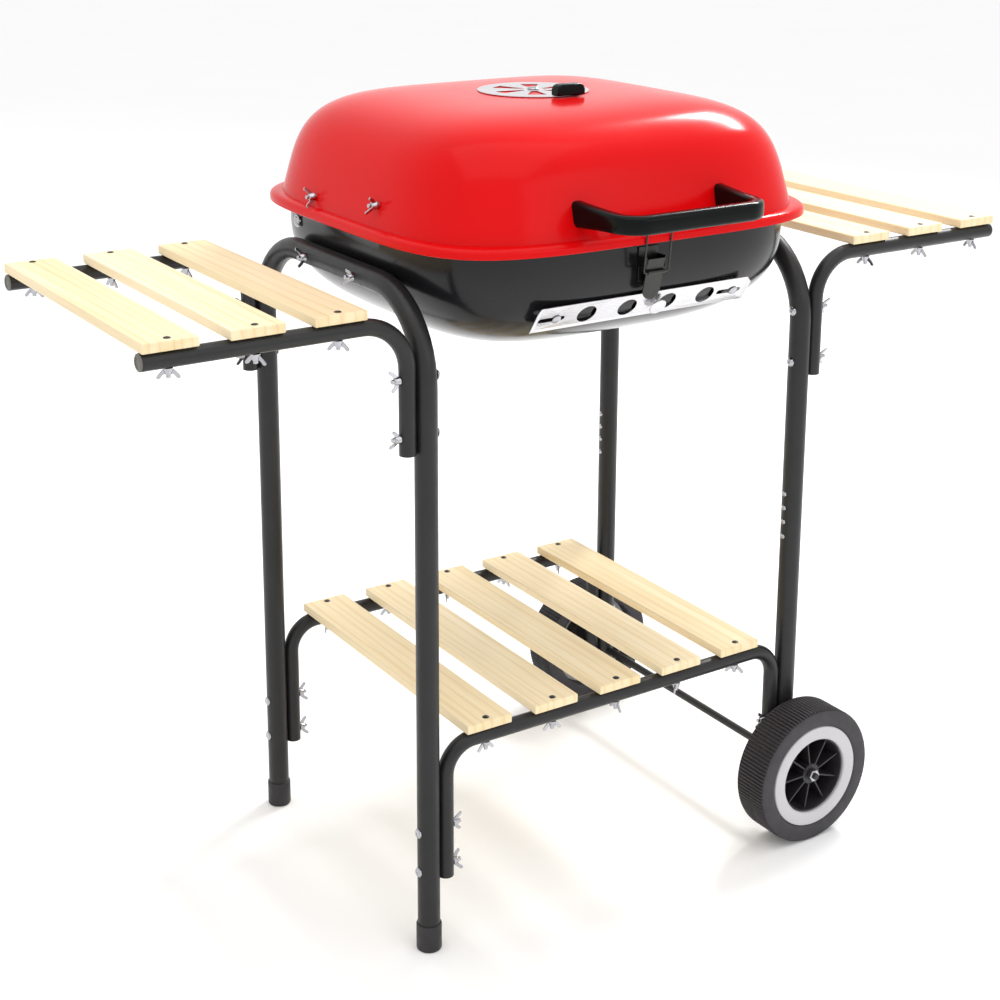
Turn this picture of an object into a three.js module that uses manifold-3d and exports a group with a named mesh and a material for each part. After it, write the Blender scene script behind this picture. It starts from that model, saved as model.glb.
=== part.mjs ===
// A trolley charcoal grill: a rounded-square bowl under a hinged domed lid, on two bent-tube leg frames,
// with slatted side shelves, a slatted lower shelf and two wheels under its right-hand end.
// Millimetres, +Z up. +X points to the wheeled end and -Y to the front, where the handle is.
// Everything is laid out about the middle of the four legs at floor level; the last lines move the whole
// grill along Y, so that the origin is under the middle of its outer box.
import * as THREE from "three";
import { mergeVertices } from "three/addons/utils/BufferGeometryUtils.js";
import Module from "manifold-3d";

const wasm = await Module();
wasm.setup();

// Driving dimensions
const GAP = 0.35; // left between pieces that touch
const SHEET = 2; // pressed steel of the bowl and the lid
const TUBE_SIDES = 12;
const RING_POINTS = 40;
const WHEEL_SEGMENTS = 32;

const LEG_X = 260; // the legs stand at plus and minus this
const LEG_Y = 189;
const LEG_RADIUS = 12.7;
const LEG_TOP = 753; // centreline of the bar that joins two legs
const LEG_BEND = 95;
const FOOT_HEIGHT = 32;
const FOOT_FLOOR = 4; // rubber under the tube
const FOOT_RADIUS = 14.4;

const SHELF_TUBE_RADIUS = 9.2;
const SHELF_TUBE_X = LEG_X + LEG_RADIUS + SHELF_TUBE_RADIUS + GAP; // outside the legs
const SHELF_TOP = 754;
const SHELF_TUBE_END = 572;
const SHELF_TUBE_FOOT = 589;
const SHELF_BEND = 52;
const PLUG = { radius: 7, depth: 10, flange: 2 };

const SLAT_WIDTH = 59;
const SLAT_LENGTH = 397;
const SLAT_THICKNESS = 10.6;
const SLAT_CHAMFER = 1;
const SIDE_SLATS = 3;
const SIDE_PITCH = 91;
const LOWER_SLATS = 5;
const LOWER_PITCH = 90.5;
const LOWER_SHIFT = -4; // the lower slats sit a little towards the left legs
const LOWER_TOP = 263;
const LOWER_TUBE_FOOT = 84;
const LOWER_BEND = 36;

const WHEEL_RADIUS = 87;
const WHEEL_FACE = 254; // distance of the wheel's outer face from the middle of the grill
const WHEEL_WIDTH = 49;
const TYRE_INNER = 65.5;
const HUB = { radius: 48, wall: 4, boss: 14, fin: 3, finTop: 246, web: { inner: 220, outer: 224 } };
const RING_DEPTH = 30;
const FIN_COUNT = 9;
const AXLE_RADIUS = 5;
const AXLE_NUT = { start: 246.4, end: 260, radius: 8.5 };

const BOWL_HALF = { x: 248.5, y: 238 };
const BOWL_SHOULDER = 781; // straight above this, round below
const BOWL_DEPTH = 122; // from the shoulder to the lowest point
const BOWL_ROUNDNESS = 2.6;
const BOWL_CORNERS = { edge: 4.2, pole: 3.2 };
const BOWL_RIM = 804.8;
const BOWL_LIP = { start: 796, half: { x: 251.5, y: 243.75 }, y: -5.25 }; // flares mostly at the front

const LID_HALF = { x: 256, y: 246 };
const LID_RIM_HALF = { x: 267, y: 256 };
const LID_RIM_BOTTOM = 796.5;
const LID_BASE = 808;
const LID_TOP = 929.5;
const LID_ROUNDNESS = 4.6;
const LID_TAPER = 0.11; // share by which the walls lean in from the base to the top
const LID_CORNERS = { rim: 4.5, edge: 4.2, pole: 6 };

const VENT_RADIUS = 65;
const VENT_SHEET = 1.2;
const VENT_TURN = THREE.MathUtils.degToRad(2); // direction of the disc's first opening
const VENT_HOLES = { count: 6, inner: 13, outer: 49, angle: THREE.MathUtils.degToRad(27) };
const VENT_RIVET = { shank: 3, head: 7 };
const VENT_KNOB = { x: 5, y: -64, length: 38, depth: 14, height: 13, bevel: 6 };

const BOLT = { shank: 3, head: 6 };
const WING_NUT = { radius: 5.5, length: 8, wing: 2.4, reach: 13, lean: 0.25 };
const PIVOT = { y: 125, z: 780, shank: 4, flange: 246.2 }; // lid hinge, in the bowl's side walls
const HINGE_ARM = { inner: 236.5, outer: 239, width: 20 };
const LID_BOLTS = [{ name: "rear", y: 65, z: 819 }, { name: "front", y: -74, z: 832 }];
const BOWL_BOLTS = [{ name: "rear", y: 55 }, { name: "front", y: -57 }];
const GRATE_PIN = { inner: 218, outer: 241 }; // bolt heads inside the bowl, which carry the cooking grate

const HANDLE = { x: -8, z: 834, front: 328, halfSpan: 88, lean: 7 };
const HANDLE_SECTION = { height: 20, depth: 16, corner: 24, chamfer: 4 };
const HANDLE_SINK = 12; // the arms are drawn this far past the lid's base line, then cut back to its wall

const DAMPER = { z: 722, length: 290, height: 38, sheet: 1.5, x: -6, standoff: 0.6 };
const DAMPER_HOLES = [-75, -21, 33, 87]; // from the middle of the damper
const DAMPER_HOLE_RADIUS = 12;
const DAMPER_TRAVEL = 20; // slides this far to bring its holes over the bowl's
const DAMPER_SLOT = { length: 34, width: 6.6, x: 121 };
const DAMPER_TAB = { post: 4, postX: 11, x: 17, radius: 11, height: 10 };
const RIVET = { shank: 2.7, head: 5.5, inside: 9 };

const LATCH = { x: -11, halfWidth: 22, leverHalf: 11.5, wireHalf: 17.5, low: 748, high: 794, sheet: 2 };
const LATCH_PIN = { y: -250, z: 775, radius: 2 };
const EAR = { past: 5, half: 9 };
const LEVER_TIP = { y: -240, z: 733 };
const WIRE_PIN = { y: -253.6, z: 764, radius: 1.5 };
const WIRE_TOP = { y: -259.2, z: 806 };

const GRATE = { frame: 3, bar: 2 };
const COOKING_Z = LEG_TOP + BOLT.head + GAP + GRATE.frame; // on the heads of the bowl's bolts
// Narrow enough to be lifted out between the hinge arms.
const COOKING_GRATE = { half: { x: 226, y: 216 }, exponent: 4.2, z: COOKING_Z, bars: 13 };
const CHARCOAL_GRATE = { half: { x: 199, y: 190 }, exponent: 3.6, z: 700, bars: 9 };

const COLOURS = {
  tube: { color: 0x3a393b, roughness: 0.45, metalness: 0.1 },
  enamel: { color: 0x2c2c2e, roughness: 0.18, metalness: 0.0 },
  red: { color: 0xd8171c, roughness: 0.15, metalness: 0.0 },
  wood: { color: 0xe6cf9a, roughness: 0.65, metalness: 0.0 },
  chrome: { color: 0xd9d9dc, roughness: 0.12, metalness: 1.0 },
  plastic: { color: 0x1c2222, roughness: 0.35, metalness: 0.0 },
  rubber: { color: 0x39373a, roughness: 0.8, metalness: 0.0 },
  greyPlastic: { color: 0xcfcccf, roughness: 0.5, metalness: 0.0 },
  plug: { color: 0x6b6a66, roughness: 0.6, metalness: 0.0 },
  darkWire: { color: 0x1a1a16, roughness: 0.4, metalness: 0.6 },
};
const MATERIALS = Object.fromEntries(
  Object.entries(COLOURS).map(([name, look]) => [name, new THREE.MeshStandardMaterial(look)]),
);

const grill = new THREE.Group();
const SIDES = [{ name: "left", sign: -1 }, { name: "right", sign: 1 }];
const ENDS = [{ name: "front", sign: -1 }, { name: "rear", sign: 1 }];
const Y_AXIS = new THREE.Vector3(0, 1, 0);
const point = (x, y, z) => new THREE.Vector3(x, y, z);

function addPiece(name, geometry, material) {
  const mesh = new THREE.Mesh(geometry, MATERIALS[material]);
  mesh.name = name;
  grill.add(mesh);
  return mesh;
}

// Solids for joining and cutting

// The same skin with shared corners and no empty triangles.
function welded(geometry) {
  const bare = geometry.clone();
  bare.deleteAttribute("normal");
  bare.deleteAttribute("uv");
  const merged = mergeVertices(bare, 1e-3);
  const corners = merged.index.array;
  const kept = [];
  for (let i = 0; i < corners.length; i += 3) {
    const [a, b, c] = [corners[i], corners[i + 1], corners[i + 2]];
    if (a !== b && b !== c && c !== a) {
      kept.push(a, b, c);
    }
  }
  merged.setIndex(kept);
  return merged;
}

// Turns a closed skin so that its faces look outwards.
function facingOut(geometry) {
  const closed = welded(geometry);
  const place = closed.attributes.position;
  const corners = closed.index.array;
  const at = (i) => new THREE.Vector3().fromBufferAttribute(place, corners[i]);
  let volume = 0;
  for (let i = 0; i < corners.length; i += 3) {
    volume += at(i).dot(at(i + 1).cross(at(i + 2)));
  }
  closed.setIndex(volume < 0 ? Array.from(corners).reverse() : Array.from(corners));
  closed.computeVertexNormals();
  return closed;
}

function solidOf(geometry) {
  const closed = welded(geometry);
  const vertProperties = closed.attributes.position.array;
  const triVerts = new Uint32Array(closed.index.array);
  return new wasm.Manifold(new wasm.Mesh({ numProp: 3, vertProperties, triVerts }));
}

function geometryOf(solid) {
  const mesh = solid.getMesh();
  const geometry = new THREE.BufferGeometry();
  geometry.setAttribute("position", new THREE.BufferAttribute(mesh.vertProperties, 3));
  geometry.setIndex(new THREE.BufferAttribute(mesh.triVerts, 1));
  geometry.computeVertexNormals();
  return geometry;
}

function join(geometries) {
  return geometryOf(geometries.map(solidOf).reduce((whole, next) => whole.add(next)));
}

function cut(geometry, tools) {
  return geometryOf(tools.map(solidOf).reduce((whole, tool) => whole.subtract(tool), solidOf(geometry)));
}

// Simple shapes

function box(low, high) {
  const size = new THREE.Vector3().subVectors(high, low);
  const middle = new THREE.Vector3().addVectors(high, low).multiplyScalar(0.5);
  return new THREE.BoxGeometry(size.x, size.y, size.z).translate(middle.x, middle.y, middle.z);
}

function rod(radius, start, end, sides = TUBE_SIDES) {
  const along = new THREE.Vector3().subVectors(end, start);
  const middle = new THREE.Vector3().addVectors(end, start).multiplyScalar(0.5);
  const turn = new THREE.Quaternion().setFromUnitVectors(Y_AXIS, along.clone().normalize());
  const geometry = new THREE.CylinderGeometry(radius, radius, along.length(), sides);
  return geometry.applyQuaternion(turn).translate(middle.x, middle.y, middle.z);
}

// A lathed ring or disc about the Y axis through the origin; each profile point is [radius, y].
function turned(profile, segments) {
  const points = profile.map(([radius, y]) => new THREE.Vector2(radius, y));
  return facingOut(new THREE.LatheGeometry(points, segments));
}

// A curve that passes through listed stations, each with its point and tangent.
class StationPath extends THREE.Curve {
  constructor(stations) {
    super();
    this.stations = stations;
  }
  station(u) {
    return this.stations[Math.round(u * (this.stations.length - 1))];
  }
  getPointAt(u, target = new THREE.Vector3()) {
    return target.copy(this.station(u).point);
  }
  getTangentAt(u, target = new THREE.Vector3()) {
    return target.copy(this.station(u).tangent);
  }
}

// The stations of a line through the corners, with each inner corner rounded to the bend radius.
function bentStations(corners, bend, stepsPerBend) {
  const direction = (a, b) => new THREE.Vector3().subVectors(b, a).normalize();
  const stations = [{ point: corners[0], tangent: direction(corners[0], corners[1]) }];
  for (let i = 1; i < corners.length - 1; i += 1) {
    const into = direction(corners[i - 1], corners[i]);
    const out = direction(corners[i], corners[i + 1]);
    const angle = into.angleTo(out);
    const start = corners[i].clone().addScaledVector(into, -bend * Math.tan(angle / 2));
    const inward = out.clone().addScaledVector(into, -Math.cos(angle)).normalize();
    const centre = start.clone().addScaledVector(inward, bend);
    for (let k = 0; k <= stepsPerBend; k += 1) {
      const turn = (angle * k) / stepsPerBend;
      const at = centre.clone().addScaledVector(inward, -bend * Math.cos(turn));
      at.addScaledVector(into, bend * Math.sin(turn));
      const tangent = into.clone().multiplyScalar(Math.cos(turn)).addScaledVector(inward, Math.sin(turn));
      stations.push({ point: at, tangent });
    }
  }
  const last = corners.length - 1;
  stations.push({ point: corners[last], tangent: direction(corners[last - 1], corners[last]) });
  return stations;
}

function bentTube(corners, bend, radius, { stepsPerBend = 7, sides = TUBE_SIDES } = {}) {
  const outline = Array.from({ length: sides }, (_, i) => {
    const angle = (2 * Math.PI * (i + 0.5)) / sides;
    return new THREE.Vector2(radius * Math.cos(angle), radius * Math.sin(angle));
  });
  const stations = bentStations(corners, bend, stepsPerBend);
  return new THREE.ExtrudeGeometry(new THREE.Shape(outline), {
    steps: stations.length - 1,
    extrudePath: new StationPath(stations),
  });
}

// Superellipse shells

// A level ring of points; the exponent runs from 2 for an ellipse to large values for a square.
function ringPoints({ halfX, halfY, exponent, z, y = 0 }) {
  const bulge = (value) => Math.sign(value) * Math.abs(value) ** (2 / exponent);
  return Array.from({ length: RING_POINTS }, (_, i) => {
    const angle = (2 * Math.PI * i) / RING_POINTS;
    return [halfX * bulge(Math.cos(angle)), y + halfY * bulge(Math.sin(angle)), z];
  });
}

// A closed skin through the rings, with a middle point closing the first and the last.
function shell(rings) {
  const loops = rings.map(ringPoints);
  const first = rings[0];
  const last = rings[rings.length - 1];
  const positions = [...loops.flat(), [0, first.y ?? 0, first.z], [0, last.y ?? 0, last.z]].flat();
  const firstPole = loops.length * RING_POINTS;
  const index = [];
  for (let i = 0; i < RING_POINTS; i += 1) {
    const next = (i + 1) % RING_POINTS;
    for (let row = 0; row < loops.length - 1; row += 1) {
      const here = row * RING_POINTS;
      const below = here + RING_POINTS;
      index.push(here + i, below + i, below + next, here + i, below + next, here + next);
    }
    const lastRow = (loops.length - 1) * RING_POINTS;
    index.push(firstPole, i, next, firstPole + 1, lastRow + next, lastRow + i);
  }
  const geometry = new THREE.BufferGeometry();
  geometry.setAttribute("position", new THREE.Float32BufferAttribute(positions, 3));
  geometry.setIndex(index);
  return facingOut(geometry);
}

// The rings of a dome: full size at the edge height, closing in towards the pole height.
function domeRings({ half, edge, pole, roundness, corners, steps, taper = 0 }) {
  return Array.from({ length: steps }, (_, k) => {
    const turn = (Math.PI / 2) * ((k + 1) / steps);
    const spread = Math.sin(turn) ** (2 / roundness);
    const bend = k + 1 === steps ? 0 : Math.cos(turn) ** (2 / roundness);
    const rise = k === 0 ? 1 : bend; // flat across the first ring
    const size = spread * (1 - taper * rise);
    return {
      halfX: half.x * size,
      halfY: half.y * size,
      z: edge + (pole - edge) * rise,
      exponent: corners.pole + (corners.edge - corners.pole) * spread,
    };
  });
}

const shrink = (half, by) => ({ x: half.x - by, y: half.y - by });
const rimRing = (half, z, exponent, y = 0) => ({ halfX: half.x, halfY: half.y, z, exponent, y });

// Leg frames and feet

function addLegFrame(side) {
  const x = side.sign * LEG_X;
  const wheeled = side.sign > 0;
  const foot = wheeled ? WHEEL_RADIUS - 2 * LEG_RADIUS : FOOT_FLOOR + GAP;
  const corners = [
    point(x, -LEG_Y, foot),
    point(x, -LEG_Y, LEG_TOP),
    point(x, LEG_Y, LEG_TOP),
    point(x, LEG_Y, foot),
  ];
  const across = 2 * LEG_RADIUS;
  const holes = BOWL_BOLTS.map((bolt) =>
    rod(BOLT.shank + GAP, point(x - across, bolt.y, LEG_TOP), point(x + across, bolt.y, LEG_TOP)),
  );
  if (wheeled) {
    const past = LEG_Y + across;
    holes.push(rod(AXLE_RADIUS + GAP, point(x, -past, WHEEL_RADIUS), point(x, past, WHEEL_RADIUS)));
  }
  addPiece(`${side.name}_leg_frame`, cut(bentTube(corners, LEG_BEND, LEG_RADIUS), holes), "tube");
}

function addFootCap(end) {
  const bore = LEG_RADIUS + GAP;
  const profile = [
    [0, 0],
    [FOOT_RADIUS - 1, 0],
    [FOOT_RADIUS, 1],
    [FOOT_RADIUS, FOOT_HEIGHT],
    [bore, FOOT_HEIGHT],
    [bore, FOOT_FLOOR],
    [0, FOOT_FLOOR],
  ];
  const cap = turned(profile, 24).rotateX(Math.PI / 2).translate(-LEG_X, end.sign * LEG_Y, 0);
  addPiece(`${end.name}_foot_cap`, cap, "plastic");
}

// Shelves

// A slat's chamfered section, run from front to back.
function slat(x, top) {
  const w = SLAT_WIDTH / 2;
  const low = -SLAT_THICKNESS;
  const c = SLAT_CHAMFER;
  const outline = [
    [w, low + c], [w, -c], [w - c, 0], [c - w, 0],
    [-w, -c], [-w, low + c], [c - w, low], [w - c, low],
  ].map(([across, up]) => new THREE.Vector2(across, up));
  const geometry = new THREE.ExtrudeGeometry(new THREE.Shape(outline), {
    depth: SLAT_LENGTH,
    bevelEnabled: false,
  });
  return geometry.rotateX(Math.PI / 2).translate(x, SLAT_LENGTH / 2, top);
}

function addShelfTube(side, end) {
  const x = side.sign * SHELF_TUBE_X;
  const y = end.sign * LEG_Y;
  const z = SHELF_TOP - SLAT_THICKNESS - GAP - SHELF_TUBE_RADIUS;
  const tip = side.sign * SHELF_TUBE_END;
  const corners = [point(tip, y, z), point(x, y, z), point(x, y, SHELF_TUBE_FOOT)];
  const socket = tip - side.sign * PLUG.depth;
  const bore = rod(PLUG.radius + GAP, point(socket - side.sign * GAP, y, z), point(tip + side.sign, y, z));
  const tube = cut(bentTube(corners, SHELF_BEND, SHELF_TUBE_RADIUS), [bore]);
  addPiece(`${side.name}_shelf_${end.name}_tube`, tube, "tube");

  const inside = tip + side.sign * GAP;
  const outside = inside + side.sign * PLUG.flange;
  const plug = join([
    rod(PLUG.radius, point(socket, y, z), point(outside, y, z)),
    rod(SHELF_TUBE_RADIUS, point(inside, y, z), point(outside, y, z)),
  ]);
  addPiece(`${side.name}_${end.name}_tube_plug`, plug, "plug");
}

function addSideShelf(side) {
  ENDS.forEach((end) => addShelfTube(side, end));
  const outermost = SHELF_TUBE_END + 1 - SLAT_WIDTH / 2;
  for (let i = 0; i < SIDE_SLATS; i += 1) {
    const x = side.sign * (outermost - i * SIDE_PITCH);
    addPiece(`${side.name}_slat_${i + 1}`, slat(x, SHELF_TOP), "wood");
  }
}

function addLowerShelf() {
  const x = LEG_X - LEG_RADIUS - GAP - SHELF_TUBE_RADIUS;
  const z = LOWER_TOP - SLAT_THICKNESS - GAP - SHELF_TUBE_RADIUS;
  ENDS.forEach((end) => {
    const y = end.sign * LEG_Y;
    const corners = [
      point(-x, y, LOWER_TUBE_FOOT),
      point(-x, y, z),
      point(x, y, z),
      point(x, y, LOWER_TUBE_FOOT),
    ];
    const tube = bentTube(corners, LOWER_BEND, SHELF_TUBE_RADIUS, { stepsPerBend: 5 });
    addPiece(`lower_shelf_${end.name}_tube`, tube, "tube");
  });
  for (let i = 0; i < LOWER_SLATS; i += 1) {
    const middle = LOWER_SHIFT + (i - (LOWER_SLATS - 1) / 2) * LOWER_PITCH;
    addPiece(`lower_slat_${i + 1}`, slat(middle, LOWER_TOP), "wood");
  }
}

// Wheels

// Wheel parts are turned about Y, outwards from the middle of the grill; the front ones are turned round.
function placeOnAxle(geometry, end) {
  const placed = end.sign > 0 ? geometry : geometry.rotateZ(Math.PI);
  return placed.translate(LEG_X, 0, WHEEL_RADIUS);
}

function tyre() {
  const inner = WHEEL_FACE - WHEEL_WIDTH;
  const side = [
    [TYRE_INNER, 2],
    [TYRE_INNER + 4, 0.4],
    [WHEEL_RADIUS - 5, 0.4],
    [WHEEL_RADIUS - 1, 1.4],
    [WHEEL_RADIUS, 4],
  ];
  const outerSide = side.map(([radius, inset]) => [radius, WHEEL_FACE - inset]);
  const innerSide = side.map(([radius, inset]) => [radius, inner + inset]);
  return turned([...innerSide, ...outerSide.reverse(), innerSide[0]], WHEEL_SEGMENTS);
}

function wheelRing() {
  const outer = TYRE_INNER - GAP;
  const inner = HUB.radius + GAP;
  const back = WHEEL_FACE - RING_DEPTH;
  const profile = [
    [inner, back],
    [outer, back],
    [outer, WHEEL_FACE - 1.5],
    [outer - 1.5, WHEEL_FACE],
    [inner + 1.5, WHEEL_FACE],
    [inner, WHEEL_FACE - 1.5],
    [inner, back],
  ];
  return turned(profile, WHEEL_SEGMENTS);
}

function wheelHub() {
  const bore = AXLE_RADIUS + GAP;
  const boss = HUB.boss;
  const inner = WHEEL_FACE - WHEEL_WIDTH + 3;
  const legFace = LEG_Y + LEG_RADIUS + GAP;
  const web = HUB.web;
  const profile = [
    [bore, legFace],
    [boss - 4, legFace],
    [boss - 4, web.inner],
    [HUB.radius - HUB.wall, web.inner],
    [HUB.radius - HUB.wall, inner],
    [HUB.radius, inner],
    [HUB.radius, WHEEL_FACE - 2],
    [HUB.radius - HUB.wall, WHEEL_FACE - 3],
    [HUB.radius - HUB.wall - 2, web.outer],
    [boss, web.outer],
    [boss - 1, HUB.finTop],
    [bore, HUB.finTop],
    [bore, legFace],
  ];
  const fins = Array.from({ length: FIN_COUNT }, (_, i) => {
    const reach = HUB.radius - HUB.wall / 2;
    const fin = box(point(boss - 3, web.outer - 1, -HUB.fin / 2), point(reach, HUB.finTop, HUB.fin / 2));
    return fin.rotateY((2 * Math.PI * (i + 0.5)) / FIN_COUNT);
  });
  return join([turned(profile, WHEEL_SEGMENTS), ...fins]);
}

// A domed nut closed over the axle's end.
function axleNut() {
  const bore = AXLE_RADIUS + GAP;
  const { start, end, radius } = AXLE_NUT;
  const axleEnd = end - 3;
  const profile = [
    [0, axleEnd + GAP],
    [bore, axleEnd + GAP],
    [bore, start],
    [radius, start],
    [radius, end - 4],
    [radius - 3, end - 0.8],
    [0, end],
  ];
  return turned(profile, 20);
}

function addWheels() {
  const axleEnd = AXLE_NUT.end - 3;
  const middle = (y) => point(LEG_X, y, WHEEL_RADIUS);
  addPiece("axle", rod(AXLE_RADIUS, middle(-axleEnd), middle(axleEnd)), "chrome");
  ENDS.forEach((end) => {
    addPiece(`${end.name}_wheel_tyre`, placeOnAxle(tyre(), end), "rubber");
    addPiece(`${end.name}_wheel_ring`, placeOnAxle(wheelRing(), end), "greyPlastic");
    addPiece(`${end.name}_wheel_hub`, placeOnAxle(wheelHub(), end), "plastic");
    addPiece(`${end.name}_axle_nut`, placeOnAxle(axleNut(), end), "chrome");
  });
}

// Bowl

const bowlDome = (by) => ({
  half: shrink(BOWL_HALF, by),
  edge: BOWL_SHOULDER,
  pole: BOWL_SHOULDER - BOWL_DEPTH + by,
  roundness: BOWL_ROUNDNESS,
  corners: BOWL_CORNERS,
  steps: 7,
});

// How far the bowl's outer wall has closed in at a height below the shoulder, 1 at the shoulder.
function bowlSpread(z) {
  const drop = (BOWL_SHOULDER - z) / BOWL_DEPTH;
  return (1 - drop ** BOWL_ROUNDNESS) ** (1 / BOWL_ROUNDNESS);
}

// The front of the bowl at the damper: a point on its surface and the directions up along it and out of it.
function damperSeat() {
  const drop = (BOWL_SHOULDER - DAMPER.z) / BOWL_DEPTH;
  const spread = bowlSpread(DAMPER.z);
  const slope = (BOWL_HALF.y / BOWL_DEPTH) * (drop / spread) ** (BOWL_ROUNDNESS - 1);
  const tilt = Math.atan(slope);
  return {
    tilt,
    surface: point(0, -BOWL_HALF.y * spread, DAMPER.z),
    outward: point(0, -Math.cos(tilt), -Math.sin(tilt)),
  };
}

// A rod through the damper's plane at a place along X, from one distance out of the surface to another.
function seatRod(radius, x, from, to, sides = TUBE_SIDES) {
  const { surface, outward } = damperSeat();
  const at = (distance) => surface.clone().setX(x).addScaledVector(outward, distance);
  return rod(radius, at(from), at(to), sides);
}

function addBowl() {
  const outer = domeRings(bowlDome(0));
  const inner = domeRings(bowlDome(SHEET));
  const lip = { x: BOWL_LIP.half.x, y: BOWL_LIP.half.y };
  const inside = shrink(lip, SHEET);
  const corner = BOWL_CORNERS.edge;
  const rings = [
    ...outer,
    rimRing(BOWL_HALF, BOWL_LIP.start, corner),
    rimRing(lip, BOWL_LIP.start + 5, corner, BOWL_LIP.y),
    rimRing(lip, BOWL_RIM, corner, BOWL_LIP.y),
    rimRing(inside, BOWL_RIM, corner, BOWL_LIP.y),
    rimRing(inside, BOWL_LIP.start + 6, corner, BOWL_LIP.y),
    rimRing(shrink(BOWL_HALF, SHEET), BOWL_LIP.start + 1, corner),
    ...inner.reverse(),
  ];
  const holes = DAMPER_HOLES.map((x) =>
    seatRod(DAMPER_HOLE_RADIUS, x + DAMPER.x + DAMPER_TRAVEL, 10, -20, 20),
  );
  [-1, 1].forEach((sign) => holes.push(seatRod(RIVET.shank + GAP, sign * DAMPER_SLOT.x, 10, -20, 10)));
  SIDES.forEach(({ sign }) => {
    const through = (y, z, radius) => rod(radius, point(sign * 200, y, z), point(sign * 260, y, z));
    BOWL_BOLTS.forEach((bolt) => holes.push(through(bolt.y, LEG_TOP, BOLT.shank + GAP)));
    holes.push(through(PIVOT.y, PIVOT.z, PIVOT.shank + GAP));
  });
  addPiece("charcoal_bowl", cut(shell(rings), holes), "enamel");
}

// Bolts across the grill, with a wing nut on the outside

function wingNut(sign, y, z, { start, turn }) {
  const at = (x) => point(sign * x, y, z);
  const thick = WING_NUT.wing / 2;
  const wings = [0, Math.PI].map((half) => {
    const wing = box(point(-thick, -thick, 0), point(WING_NUT.length / 2, thick, WING_NUT.reach));
    return wing.rotateY(WING_NUT.lean).rotateX(half + turn).scale(sign, 1, 1);
  });
  const middle = at(start + WING_NUT.length / 2);
  const placed = wings.map((wing) => facingOut(wing).translate(middle.x, middle.y, middle.z));
  return [rod(WING_NUT.radius, at(start), at(start + WING_NUT.length)), ...placed];
}

function crossBolt(sign, y, z, { headStart, headEnd, nutStart, turn }) {
  const at = (x) => point(sign * x, y, z);
  const pastNut = nutStart + WING_NUT.length + 3;
  return [
    rod(BOLT.head, at(headStart), at(headEnd)),
    rod(BOLT.shank, at(headStart), at(pastNut)),
    ...wingNut(sign, y, z, { start: nutStart, turn }),
  ];
}

function addBowlBolts() {
  const nutStart = LEG_X + LEG_RADIUS + GAP;
  SIDES.forEach((side) =>
    BOWL_BOLTS.forEach((bolt) => {
      const places = { headStart: GRATE_PIN.inner, headEnd: GRATE_PIN.outer, nutStart, turn: 0 };
      const bolted = join(crossBolt(side.sign, bolt.y, LEG_TOP, places));
      addPiece(`${side.name}_${bolt.name}_bowl_bolt`, bolted, "chrome");
    }),
  );
}

// Lid, hinge arms and pivots

const lidDome = (by) => ({
  half: shrink(LID_HALF, by),
  edge: LID_BASE - by,
  pole: LID_TOP - by,
  roundness: LID_ROUNDNESS,
  corners: LID_CORNERS,
  steps: 8,
  taper: LID_TAPER,
});

// Where the lid's outer side wall stands along X at a height above its base.
function lidWallX(z) {
  const rise = (z - LID_BASE) / (LID_TOP - LID_BASE);
  return LID_HALF.x * (1 - rise ** LID_ROUNDNESS) ** (1 / LID_ROUNDNESS) * (1 - LID_TAPER * rise);
}

function ventSectors(z, height, turn) {
  return Array.from({ length: VENT_HOLES.count }, (_, i) => {
    const middle = turn + (i * 2 * Math.PI) / VENT_HOLES.count;
    const options = { depth: height, bevelEnabled: false, curveSegments: 3 };
    return new THREE.ExtrudeGeometry(sectorOutline(middle), options).translate(0, 0, z);
  });
}

function sectorOutline(middle) {
  const path = new THREE.Shape();
  const half = VENT_HOLES.angle / 2;
  path.absarc(0, 0, VENT_HOLES.outer, middle - half, middle + half, false);
  path.absarc(0, 0, VENT_HOLES.inner, middle + half, middle - half, true);
  path.closePath();
  return path;
}

function addLid() {
  const rim = LID_CORNERS.rim;
  const inside = shrink(LID_RIM_HALF, SHEET);
  const rings = [
    ...domeRings(lidDome(0)),
    rimRing(shrink(LID_RIM_HALF, 5), LID_BASE - 0.8, rim),
    rimRing(shrink(LID_RIM_HALF, 1.5), LID_BASE - 2.6, rim),
    rimRing(LID_RIM_HALF, LID_BASE - 5.5, rim),
    rimRing(LID_RIM_HALF, LID_RIM_BOTTOM, rim),
    rimRing(inside, LID_RIM_BOTTOM, rim),
    rimRing(inside, LID_BASE - 6, rim),
    rimRing(shrink(inside, 1.5), LID_BASE - 4, rim),
    rimRing(shrink(inside, 4), LID_BASE - 2.8, rim),
    ...domeRings(lidDome(SHEET)).reverse(),
  ];
  const below = LID_TOP - 20;
  const holes = ventSectors(below, 40, VENT_TURN + Math.PI / VENT_HOLES.count);
  holes.push(rod(VENT_RIVET.shank + GAP, point(0, 0, below), point(0, 0, LID_TOP + 20)));
  SIDES.forEach(({ sign }) =>
    LID_BOLTS.forEach(({ y, z }) =>
      holes.push(rod(BOLT.shank + GAP, point(sign * 230, y, z), point(sign * 280, y, z))),
    ),
  );
  addPiece("lid_shell", cut(shell(rings), holes), "red");
}

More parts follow.
